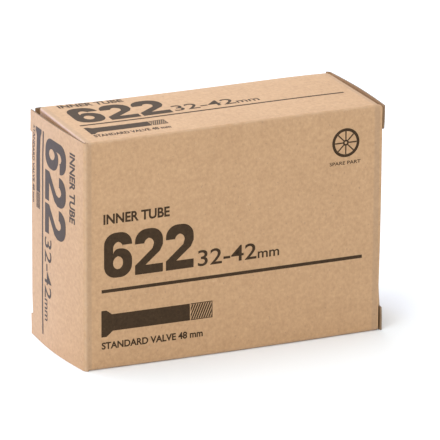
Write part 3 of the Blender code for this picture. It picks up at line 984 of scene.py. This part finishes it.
class Sheet:
    """A layout of printing, in millimetres right and down from a face's corner."""

    def __init__(self):
        self.flat = bmesh.new()

    def add(self, mesh, change):
        """Adds a flat mesh, changed by a matrix, and removes it."""
        mesh.transform(change)
        self.flat.from_mesh(mesh)
        bpy.data.meshes.remove(mesh)

    def text(self, words, x, v, height, width, weight=0.045):
        """Adds words in capitals of a height, drawn out to a width, from x along a baseline at v."""
        mesh = text_shapes(words, height / FONT_CAP_HEIGHT, weight * height)
        left = min(vert.co.x for vert in mesh.vertices)
        right = max(vert.co.x for vert in mesh.vertices)
        stretch = Matrix.Diagonal((width / (right - left), 1, 1, 1))
        self.add(mesh, Matrix.Translation((x, -v, 0)) @ stretch @ Matrix.Translation((-left, 0, 0)))

    def shape(self, *loops):
        """Adds closed loops of points right and down, with loops inside others as holes."""
        self.add(curve_shapes(loops), Matrix.Diagonal((1, -1, 1, 1)))

    def finish(self, name, look, spot, place, uv, body):
        """Prints the sheet on a surface. spot turns a place right and down into the surface's measures."""
        bmesh.ops.remove_doubles(self.flat, verts=self.flat.verts, dist=1e-4)
        for vert in self.flat.verts:
            vert.co = (*spot(vert.co.x * MM, -vert.co.y * MM), 0)
        spans = [[vert.co[axis] for vert in self.flat.verts] for axis in (0, 1)]
        for axis, values in enumerate(spans):
            cut(self.flat, axis, stops(min(values), max(values), PRINT_GRID)[1:-1])
        printed = thicken(name, self.flat, place, (-INK_PROUD, INK_SUNK), uv, (look,))
        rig.slot(printed, "kraft_board")
        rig.ride(printed, body)


def rectangle(x0, v0, x1, v1):
    return [(x0, v0), (x1, v0), (x1, v1), (x0, v1)]


def stadium(x0, v0, x1, v1, radius):
    """A rectangle with round corners, in millimetres right and down."""
    near, far, high, low = x0 + radius, x1 - radius, v0 + radius, v1 - radius
    centres = ((far, low), (near, low), (near, high), (far, high))
    return [point for k, centre in enumerate(centres) for point in corner(*centre, radius, k)]


def digit_top(x0, v0, width, stroke):
    """The round top of a bold condensed digit: its outer edge, its inner edge, and their corners' radii."""
    outer = 0.42 * width
    inner = outer - 0.62 * stroke
    x1, inset = x0 + width, stroke + inner
    over = corner(x0 + outer, v0 + outer, outer, 2) + corner(x1 - outer, v0 + outer, outer, 3)
    under = corner(x1 - inset, v0 + inset, inner, 0, -1) + corner(x0 + inset, v0 + inset, inner, -1, -1)
    return over, under, outer, inner


def digit_six(x0, v0, width, height, stroke):
    """A 6: a tall round-ended outline with an open top and a closed bowl."""
    over, under, outer, inner = digit_top(x0, v0, width, stroke)
    x1, v1 = x0 + width, v0 + height
    bowl_top, terminal, throat = v0 + 0.36 * height, v0 + 0.29 * height, 0.9 * inner
    body = [
        *over,
        (x1, terminal),
        (x1 - stroke, terminal),
        *under,
        (x0 + stroke, bowl_top + 0.12 * height),
        *corner(x0 + stroke + throat, bowl_top + throat, throat, 2, steps=4)[1:],
        *corner(x1 - outer, bowl_top + outer, outer, 3),
        *corner(x1 - outer, v1 - outer, outer, 0),
        *corner(x0 + outer, v1 - outer, outer, 1),
    ]
    counter = stadium(x0 + stroke, bowl_top + 0.8 * stroke, x1 - stroke, v1 - 0.85 * stroke, inner)
    return body, counter


def digit_two(x0, v0, width, height, stroke):
    """A 2: a round top, a straight slope, and a square foot."""
    over, under, _, _ = digit_top(x0, v0, width, stroke)
    x1, v1 = x0 + width, v0 + height
    shoulder, foot, hook = v0 + 0.42 * height, v1 - 0.95 * stroke, v0 + 0.32 * height
    return [
        *over,
        (x1, shoulder - 0.04 * height),
        (x1 - 0.10 * width, shoulder + 0.10 * height),
        (x0 + stroke * 1.15, foot),
        (x1, foot),
        (x1, v1),
        (x0, v1),
        (x0, foot - 0.01 * height),
        (x1 - stroke - 0.05 * width, shoulder + 0.03 * height),
        (x1 - stroke, shoulder - 0.08 * height),
        *under,
        (x0 + stroke, hook),
        (x0, hook),
    ]


def slanted_strip(low_x, v0, v1, lean, thickness, limits):
    """A slanted strip from v1 up to v0, cut off at the two upright limits."""
    corners = [(low_x, v1), (low_x + thickness, v1), (low_x + thickness + lean, v0), (low_x + lean, v0)]
    for limit, side in zip(limits, (1, -1)):
        kept = []
        for (ax, av), (bx, bv) in zip(corners, corners[1:] + corners[:1]):
            if side * (ax - limit) >= 0:
                kept.append((ax, av))
            if (ax - limit) * (bx - limit) < 0:
                share = (limit - ax) / (bx - ax)
                kept.append((limit, av + (bv - av) * share))
        corners = kept
        if len(corners) < 3:
            return None
    return corners


def draw_valve(sheet, x0, x1, v0, v1):
    """A side view of a valve stem: flange, chamfer, dark stem and hatched thread."""
    length, height = x1 - x0, v1 - v0
    flange, thread = x0 + 0.045 * length, x1 - 0.205 * length
    stem0, stem1 = v0 + 0.165 * height, v1 - 0.205 * height
    chamfer0, chamfer1 = flange + 0.05 * length, flange + 0.058 * length
    stem = [(chamfer0, stem0), (thread, stem0), (thread, stem1), (chamfer1, stem1)]
    loops = [[(x0, v0), (flange, v0), *stem, (flange, v1), (x0, v1)]]
    pitch, lean, rim = 0.095 * height, 0.24 * height, 0.03 * height
    strip_ends = (stem0 + 1.3 * rim, stem1 - 1.3 * rim)
    limits = (thread + 0.35 * pitch, x1 - 1.3 * rim)
    x = thread - lean
    while x < x1:
        strip = slanted_strip(x, *strip_ends, lean, 0.62 * pitch, limits)
        if strip:
            loops.append(strip)
        x += pitch
    rim_x, inner_x, top, foot = thread + rim, x1 - rim, stem0 + rim, stem1 - rim
    hook = [(rim_x, top), (inner_x, top), (inner_x, foot), (rim_x, foot)]
    loops.append([(x1, stem0), (rim_x, stem0), *hook, (rim_x, stem1), (x1, stem1)])
    sheet.shape(*loops)


def draw_wheel(sheet, x, v, radius):
    """A spoked wheel in plain outline."""
    spokes = 8
    for outer, inner in ((1, 0.80), (0.22, 0.09)):
        sheet.shape(*(arc(x, v, share * radius, 0, TAU, 40)[:-1] for share in (outer, inner)))
    near, far, half = radius * 0.23, radius * 0.79, radius * 0.045
    for k in range(spokes):
        turn = Matrix.Rotation(TAU * k / spokes, 2)
        corners = [turn @ Vector(at) for at in ((near, -half), (far, -half), (far, half), (near, half))]
        sheet.shape([(x + at.x, v + at.y) for at in corners])


def draw_label(sheet, at):
    """The size label: heading, size in bold, width range, rule, valve drawing and caption."""
    sheet.text("INNER TUBE", *at["heading"])
    x, v, width, height, advance = at["digits"]
    stroke = 0.325 * width
    sheet.shape(*digit_six(x, v, width, height, stroke))
    for k in (1, 2):
        sheet.shape(digit_two(x + k * advance, v, width, height, stroke))
    x, v, height, width = at["range"]
    numbers, unit = 0.72 * width, 0.735 * width  # where the numbers end and the unit starts
    sheet.text("32-42", x, v, height, numbers, 0.012)
    sheet.text("mm", x + unit, v, 0.62 * height, 0.265 * width, 0.012 / 0.62)
    sheet.shape(rectangle(*at["rule"]))
    draw_valve(sheet, *at["valve"])
    sheet.text("STANDARD VALVE 48 mm", *at["caption"])


# Labels, in millimetres right and down. Text has its left end, baseline, capitals' height and width, the
# digits their corner, width, height and advance, the rule its corners, and the valve its sides, top and foot.
FRONT_LABEL = {
    "heading": (7.4, 32.2, 3.6, 26.5),
    "digits": (7.6, 36.0, 11.2, 17.6, 12.4),
    "range": (45.3, 53.5, 6.0, 33.2),
    "rule": (6.6, 57.8, 112.8, 59.1),
    "valve": (6.5, 51.2, 66.0, 76.4),
    "caption": (6.6, 81.1, 2.5, 40.6),
}
END_LABEL = {
    "heading": (6.9, 11.6, 3.9, 27),
    "digits": (6.3, 14.6, 11.6, 17.8, 12.9),
    "range": (45.6, 32.4, 5.8, 33.2),
    "rule": (5.4, 34.2, 85.2, 35.3),
    "valve": (5.4, 36.6, 36.4, 41.9),
    "caption": (5.6, 44.4, 1.7, 30),
}
TOP_LABEL = {
    "heading": (7.0, 4.9, 3.3, 26),
    "digits": (7.4, 7.0, 11.8, 17.6, 12.9),
    "range": (46.4, 23.6, 6.2, 34.4),
    "rule": (6.3, 26.5, 113.6, 27.6),
    "valve": (6.5, 38.0, 30.0, 38.0),
    "caption": (6.6, 41.6, 2.5, 30.5),
}
MARK_WHEEL = (105.5, 13.0, 5.6)
MARK_WORDS = (98.9, 21.4, 1.25, 12.8)


def draw_mark(sheet):
    """A plain mark for spare parts, in the upper right corner of the large faces."""
    draw_wheel(sheet, *MARK_WHEEL)
    sheet.text("SPARE PART", *MARK_WORDS, 0.02)


def build_printing(ends, ink, end_ink):
    sleeve_sides = (
        ("front_printing", FRONT_LABEL, lambda x, v: (x, TOP - v)),
        ("back_printing", FRONT_LABEL, lambda x, v: (WIDTH - x, TOP + DEPTH + v)),
        ("top_printing", TOP_LABEL, lambda x, v: (x, TOP + DEPTH - v)),
    )
    for name, label, spot in sleeve_sides:
        sheet = Sheet()
        draw_label(sheet, label)
        if label is FRONT_LABEL:
            draw_mark(sheet)
        sheet.finish(name, ink, spot, sleeve_point, sleeve_uv, "carton")
    for end in ends:
        sheet = Sheet()
        draw_label(sheet, END_LABEL)
        name, body = f"{end.side}_end_printing", f"{end.side}_closure"
        sheet.finish(name, end_ink, lambda x, v: (v, TOP - x), end.closure_point, end.board_uv, body)


# Tube, valve and band


def swept(name, rings, look, closed=False):
    """A closed body through rings of points, joined up on itself if closed and with end faces if not."""
    bm = bmesh.new()
    layers = [[bm.verts.new(point) for point in ring] for ring in rings]
    count = len(layers[0])
    for near, far in zip(layers, layers[1:] + (layers[:1] if closed else [])):
        for i in range(count):
            j = (i + 1) % count
            bm.faces.new((near[i], near[j], far[j], far[i]))
    if not closed:
        bm.faces.new(layers[0][::-1])
        bm.faces.new(layers[-1])
    bmesh.ops.recalc_face_normals(bm, faces=bm.faces)
    return finished(name, bm, (look,))


def dress(piece, slot, node):
    """Puts a piece in place of a CAD node, on its body."""
    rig.replaces(piece, node)
    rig.slot(piece, slot)
    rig.ride(piece, frame["nodes"][node]["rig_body"])


def around(count):
    """Evenly spaced angles round a circle."""
    return [TAU * i / count for i in range(count)]


def squared(value, power):
    """A sine or cosine drawn towards 1 or -1, which squares up a circle."""
    return math.copysign(abs(value) ** power, value)


def fold_route():
    """The middle line of the doubled strip, from the valve loop down to the lowest run.

    Each entry has x, z, the heading, and how free the strip is to puff out there, from 0 in a bend to 1.
    """
    radius = (VALVE_Z - TOP_RUN_Z) / 2
    side, centre_z = -1, VALVE_Z - radius
    route = [(END_LOOP_X - END_LOOP_NECK, VALVE_Z, math.pi, 0)]
    for _ in range(RUN_COUNT):
        bend_x = side * (RUN_REACH - radius)
        x, z, heading, _ = route[-1]
        for place in stops(x, bend_x, ROUTE_STEP)[1:-1]:
            free = smooth(min(abs(place - x), abs(bend_x - place)) / BEND_FADE)
            route.append((place, z, heading, free))
        for i in range(BEND_STEPS + 1):
            turn = math.pi * i / BEND_STEPS
            x, z = bend_x + side * radius * math.sin(turn), centre_z + radius * math.cos(turn)
            route.append((x, z, math.pi + turn if side < 0 else -turn, 0))
        side = -side
        centre_z, radius = centre_z - radius - RUN_PITCH / 2, RUN_PITCH / 2
    x, z, heading, _ = route[-1]
    for place in stops(x, side * RUN_REACH, ROUTE_STEP)[1:]:
        route.append((place, z, heading, smooth((RUN_REACH - abs(place)) / BEND_FADE)))
    return route


def tube_line():
    """The tube's closed middle line: out along one strand, back along the other, and round the valve loop.

    Each entry has x, z, the direction across the strand that points away from the other one, and its freedom.
    """
    route = fold_route()

    def strand(side):
        for x, z, heading, free in route:
            away = Vector((-math.sin(heading), math.cos(heading))) * side
            yield x + away.x * STRAND_MIDDLE, z + away.y * STRAND_MIDDLE, away, free

    def turn_back(x, z, radius, angles):
        for angle in angles:
            away = Vector((math.cos(angle), math.sin(angle)))
            yield x + radius * away.x, z + radius * away.y, away, 0

    end_x, end_z, heading, _ = route[-1]
    tail = [heading - math.pi / 2 + math.pi * i / 8 for i in range(1, 8)]
    loop = [END_LOOP_HALF_ANGLE * (2 * i / LOOP_STEPS - 1) for i in range(LOOP_STEPS + 1)]
    return [
        *strand(-1),
        *turn_back(end_x, end_z, STRAND_MIDDLE, tail),
        *list(strand(1))[::-1],
        *turn_back(END_LOOP_X, VALVE_Z, END_LOOP_RADIUS, loop),
    ]


def tube_ring(x, z, away, free):
    """One section of the flattened tube: round folded edges, thin between them, puffed on its free side."""
    half = TUBE_WIDTH / 2
    flat_half = TUBE_WALLS / 2 - TUBE_SINK
    loose = free * (1 - math.exp(-(((x - BAND_X) / BAND_FADE) ** 2)))
    out = Vector((away.x, 0, away.y))
    puffed, pressed = [], []
    for i in range(RING_STATIONS):
        share = -math.cos(math.pi * i / (RING_STATIONS - 1))
        y = half * share
        edge = min(half - abs(y), TUBE_EDGE)
        roundness = math.sqrt(max(0, 1 - (1 - edge / TUBE_EDGE) ** 2))
        middle = smooth((half - abs(y)) / EDGE_FADE)
        height = (TUBE_EDGE + (flat_half - TUBE_EDGE) * middle) * roundness
        at = Vector((x, y, z))
        ripple = noise.noise(at * WRINKLES_PER_METRE + WRINKLE_OFFSET) * WRINKLE * loose
        crumple = noise.noise(Vector((x, CRUMPLE_SQUEEZE * y, z)) * CRUMPLES_PER_METRE) * CRUMPLE * roundness
        puff = (TUBE_PUFF * math.sqrt(max(0, 1 - share * share)) * loose + max(ripple, 0)) * roundness
        puffed.append(at + out * (height + min(puff + crumple, MOST_RAISED)))
        pressed.append(at - out * max(height - max(crumple, 0), TUBE_THINNEST))
    return puffed + pressed[-2:0:-1]


def build_tube(look):
    rings = [tube_ring(*place) for place in tube_line()]
    dress(swept("folded_tube", rings, look, closed=True), "butyl", "inner_tube")


def build_patch(look):
    """A moulded patch bent round the tube's end loop: a plate with sloping margins."""
    section = ((0.02, PATCH_PLATE), (0.5, PATCH_PLATE), (0.86, PATCH_PLATE), (0.93, 0.55 * MM))
    section += ((1.0, 0.2 * MM), (1.0, 0.0), (0.5, 0.0), (0.02, 0.0))

    def ring(share, height):
        radius = PATCH_INSIDE + height
        points = []
        for t in around(40):
            y = PATCH_HALF_WIDTH * share * squared(math.cos(t), 0.6)
            turn = PATCH_HALF_ANGLE * share * squared(math.sin(t), 0.6)
            points.append((END_LOOP_X + radius * math.cos(turn), y, VALVE_Z + radius * math.sin(turn)))
        return points

    dress(swept("valve_patch", [ring(*part) for part in section], look), "moulded_rubber", "valve_base_patch")


def turned(name, profile, look, segments, shape, closed=False, step=None):
    """A piece turned on the valve's axis from a profile of (x, radius) in millimetres from the valve's seat.

    shape(x, radius, angle) changes a point, and step sets how finely the profile is cut up for it.
    """
    if step:
        fine = []
        for (ax, ar), (bx, br) in zip(profile, profile[1:] + (profile[:1] if closed else [])):
            pieces = max(1, round(abs(bx - ax) / step))
            fine += [(ax + (bx - ax) * i / pieces, ar + (br - ar) * i / pieces) for i in range(pieces)]
        profile = fine if closed else fine + profile[-1:]
    rings = []
    for x, radius in profile:
        ring = []
        for angle in around(segments):
            px, pr = shape(x, radius, angle)
            ring.append(VALVE_SEAT + Vector((px, pr * math.cos(angle), pr * math.sin(angle))) * MM)
        rings.append(ring)
    return swept(name, rings, look, closed)


def thread_ridge(x, angle):
    """0 at a thread's root and 1 at its crest."""
    phase = (x * MM / THREAD_PITCH - angle / TAU) % 1
    return min(1, 1.25 * (1 - abs(2 * phase - 1)))


def build_cover(look):
    """The rubber stem, with a skirt that follows the round patch by a share for each of its rows."""
    patch_outside = (PATCH_INSIDE + PATCH_PLATE) / MM
    seat_x = VALVE_SEAT.x / MM
    skirt = [(0.02, 0.02, 1), (0.02, 5.2, 1), (0.3, 5.35, 1), (0.75, 5.2, 1)]
    skirt += [(1.5, 4.9, 0.9), (2.6, 4.6, 0.65), (4.2, 4.35, 0.3), (6.0, 4.15, 0)]
    bend = {(x, radius): share for x, radius, share in skirt}
    collar = [(9.0, 4.15), (9.2, 4.3), (10.4, 4.3), (10.6, 4.15)]
    mouth = [(34.6, 4.1), (34.8, 4.28), (36.4, 4.28), (37.2, 4.2), (37.8, 3.95), (38.0, 3.7), (38.0, 3.5)]
    cover = [(x, radius) for x, radius, _ in skirt] + collar + mouth + [(10.0, 3.5), (10.0, 0.02)]

    def saddle(x, radius, angle):
        share = bend.get((x, radius), 0)
        across = radius * math.sin(angle)
        surface = END_LOOP_X / MM + math.sqrt(patch_outside**2 - across**2) - seat_x
        return x + share * surface, radius

    dress(turned("valve_cover", cover, look, 40, saddle), "moulded_rubber", "valve_stem_cover")


def build_insert(look):
    """The brass tube in the stem, with its outside thread and its stepped bore."""
    start = THREAD_START
    outside = [(10.3, 3.2), (start, 3.2), (start, THREAD_RADIUS - 0.4)]
    thread = [(start + THREAD_RUN_OUT, THREAD_RADIUS), (47.3, THREAD_RADIUS)]
    mouth = [(48.0, 3.3), (48.0, 2.85), (47.8, 2.65)]
    bore = [(30.0, 2.65), (29.0, 1.2), (10.3, 1.2)]

    def threaded(x, radius, angle):
        if x <= start or radius < BARREL_RADIUS:
            return x, radius
        return x, min(radius, THREAD_RADIUS - THREAD_DEPTH / MM * (1 - thread_ridge(x, angle)))

    profile = outside + thread + mouth + bore
    insert = turned("threaded_insert", profile, look, 32, threaded, closed=True, step=0.1)
    dress(insert, "brass", "valve_stem_insert")


def build_cap(look):
    """The screw cap: rounded ribs outside, a bevelled mouth, and a thread inside."""
    outside = [(51.0, 0.02), (51.0, 2.6), (50.85, 3.3), (50.4, 4.1), (49.6, 4.75), (48.9, 5.0), (44, 5.0)]
    outside += [(41.2, 5.0), (40.8, 4.85), (40.5, 4.6)]
    inside = [(40.5, 4.25), (40.7, CAP_BORE), (49.2, CAP_BORE), (49.4, 3.95), (49.4, 0.02)]
    (low, high), (low_fade, high_fade) = CAP_RIB_SPAN, CAP_RIB_FADES

    def ribbed(x, radius, angle):
        if radius > CAP_RIBBED_OUTSIDE and low < x < high:
            fade = smooth((high - x) / high_fade) * smooth((x - low) / low_fade)
            return x, radius - CAP_RIB_DEPTH * fade * (0.5 - 0.5 * math.cos(CAP_RIBS * angle)) ** 1.5
        if abs(radius - CAP_BORE) < 0.05 and CAP_THREAD_SPAN[0] < x < CAP_THREAD_SPAN[1]:
            return x, radius - CAP_THREAD_DEPTH * thread_ridge(x, angle)
        return x, radius

    cap = turned("ribbed_cap", outside + inside, look, 6 * CAP_RIBS, ribbed, step=0.2)
    dress(cap, "cap_plastic", "valve_cap")


def belt(clear):
    """Points (y, z, outward) of a belt stretched round the folded tube and the valve's stem."""
    half = TUBE_WIDTH / 2
    low, high = LOWEST_RUN_Z - STRAND_MIDDLE - TUBE_WALLS / 2, TOP_RUN_Z + STRAND_MIDDLE + TUBE_WALLS / 2
    stem = (0, VALVE_Z, STEM_COVER_RADIUS)
    posts = ((half, low, 0), (half, high, 0), stem, (-half, high, 0), (-half, low, 0))
    headings = []
    for (y, z, radius), (next_y, next_z, next_radius) in zip(posts, posts[1:] + posts[:1]):
        along = math.atan2(next_z - z, next_y - y)
        apart = math.hypot(next_y - y, next_z - z)
        headings.append(along - math.acos((radius - next_radius) / apart))
    points = []
    for i, (y, z, radius) in enumerate(posts):
        start = headings[i - 1]
        turn = (headings[i] - start) % TAU
        for k in range(POST_STEPS + 1):
            angle = start + turn * k / POST_STEPS
            out = Vector((math.cos(angle), math.sin(angle)))
            points.append((y + (radius + clear) * out.x, z + (radius + clear) * out.y, out))
    return points


def build_band(look):
    """A flat rubber band with rounded edges, which bulges a little where it turns."""
    rings = []
    for y, z, out in belt(BAND_CLEAR + BAND_HALF_THICKNESS):
        ring = []
        for t in around(16):
            x = BAND_HALF_WIDTH * squared(math.cos(t), 0.45)
            depth = 0.94 * BAND_HALF_THICKNESS * squared(math.sin(t), 0.7)
            ring.append((BAND_X + x, y + out.x * depth, z + out.y * depth))
        rings.append(ring)
    dress(swept("elastic_band", rings, look, closed=True), "band_rubber", "rubber_band")


def build_spring(look):
    """The coil round the pin, with closed end turns. It shortens as the pin is pressed."""
    start, end = SPRING_SPAN
    steps = SPRING_TURNS * SPRING_CUTS
    rings = []
    for k in range(steps + 1):
        share = k / steps
        x = start + (end - start) * (SPRING_EVEN * share + (1 - SPRING_EVEN) * smooth(share))
        angle = TAU * SPRING_TURNS * share
        out = Vector((0, math.cos(angle), math.sin(angle)))
        ring = []
        for t in around(8):
            across = Vector((1, 0, 0)) * math.cos(t) + out * math.sin(t)
            ring.append(VALVE_SEAT + (Vector((x, 0, 0)) + out * SPRING_RADIUS + across * SPRING_WIRE) * MM)
        rings.append(ring)
    spring = swept("coil_spring", rings, look)
    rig.replaces(spring, "valve_spring")
    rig.slot(spring, "spring_steel")
    ends = [VALVE_SEAT + Vector((x, 0, 0)) * MM for x in SPRING_SPAN]
    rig.blend(spring, "tube_bundle", "valve_pin", start=ends[0], end=ends[1])


def dress_kept_nodes(looks):
    """Gives the small CAD parts that stay in view their own materials, slot by slot."""
    for look, nodes in looks.items():
        for node in nodes:
            mesh = frame["nodes"][node].data
            for i in range(len(mesh.materials)):
                mesh.materials[i] = look


def build_inside():
    rubber = rubber_look("moulded_rubber", (0.014, 0.014, 0.015), (0.040, 0.040, 0.041), 0.55)
    gasket = rubber_look("gasket_rubber", (0.300, 0.035, 0.022), (0.460, 0.070, 0.045), 0.55)
    plastic = rubber_look("cap_plastic", (0.010, 0.010, 0.011), (0.024, 0.024, 0.026), 0.36)
    band = rubber_look("band_rubber", (0.42, 0.27, 0.13), (0.60, 0.42, 0.23), 0.5)
    brass = metal_look("turned_brass", (0.55, 0.38, 0.17), (0.80, 0.61, 0.33), 0.30)
    steel = metal_look("spring_steel", (0.42, 0.42, 0.43), (0.66, 0.66, 0.67), 0.25)
    build_tube(butyl_look())
    build_patch(rubber)
    build_cover(rubber)
    build_insert(brass)
    build_cap(plastic)
    build_band(band)
    build_spring(steel)
    dress_kept_nodes(
        {
            brass: ("core_plug", "core_barrel", "valve_pin"),
            gasket: ("core_gasket", "core_seat_washer", "cap_seal"),
        }
    )


# Stage


def build_camera():
    data = bpy.data.cameras.new("camera")
    data.lens = CAMERA_LENS
    data.sensor_width = CAMERA_SENSOR
    data.clip_start, data.clip_end = CAMERA_CLIP
    camera = bpy.data.objects.new("camera", data)
    a, e, r = CAMERA_AZIMUTH, CAMERA_ELEVATION, CAMERA_ROLL
    back = Vector((math.sin(a) * math.cos(e), -math.cos(a) * math.cos(e), math.sin(e)))
    right = Vector((math.cos(a), math.sin(a), 0))
    up = back.cross(right)
    turned_right = right * math.cos(r) + up * math.sin(r)
    turned_up = up * math.cos(r) - right * math.sin(r)
    camera.matrix_world = Matrix.Translation(CAMERA_TARGET + back * CAMERA_DISTANCE) @ Matrix(
        (turned_right, turned_up, back)
    ).transposed().to_4x4()
    bpy.context.scene.collection.objects.link(camera)
    bpy.context.scene.camera = camera


def build_floor():
    bm = bmesh.new()
    corners = ((-1, -1), (1, -1), (1, 1), (-1, 1))
    bm.faces.new([bm.verts.new((x * FLOOR_HALF, y * FLOOR_HALF, FLOOR_Z)) for x, y in corners])
    look = Look("pale_floor", FLOOR, 0.9, specular=0.1)
    floor = finished("floor", bm, [look.material])
    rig.stage(floor)


def add_area_light(name, place, size, power, colour):
    data = bpy.data.lights.new(name, "AREA")
    data.shape = "DISK"
    data.size = size
    data.energy = power
    data.color = colour
    light = bpy.data.objects.new(name, data)
    light.location = place
    light.visible_camera = False
    light.rotation_euler = (Vector(AIM) - Vector(place)).to_track_quat("-Z", "Y").to_euler()
    bpy.context.scene.collection.objects.link(light)


def build_lights():
    world = bpy.data.worlds.new("studio")
    world.use_nodes = True
    world.node_tree.nodes["Background"].inputs["Color"].default_value = (1, 1, 1, 1)
    world.node_tree.nodes["Background"].inputs["Strength"].default_value = SKY
    bpy.context.scene.world = world
    for light in LIGHTS:
        add_area_light(*light)
    bpy.context.scene.view_settings.view_transform = "Standard"


def build():
    board = kraft_look(), shaded_inside_look(), cut_edge_look()
    ends = (
        End("left", 8.5 * MM, belly=(1.6 * MM, 0.7 * MM), brim=0.4 * MM, lift=0.4 * MM),
        End("right", 9.4 * MM, belly=(0.6 * MM, 1.0 * MM), brim=-0.8 * MM, lift=0.9 * MM),
    )
    build_sleeve(board)
    for end in ends:
        build_closure(end, board)
        build_lip(end, board)
        build_flap(end, 1, board)
        build_flap(end, -1, board)
    build_printing(ends, ink_look("printing_ink", 0.16), ink_look("end_printing_ink", 0.45))
    build_inside()
    build_camera()
    build_floor()
    build_lights()


build()
with open("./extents.json", "w") as file:
    json.dump([[list(corner) for corner in box] for box in (cad_box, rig.bounds())], file)
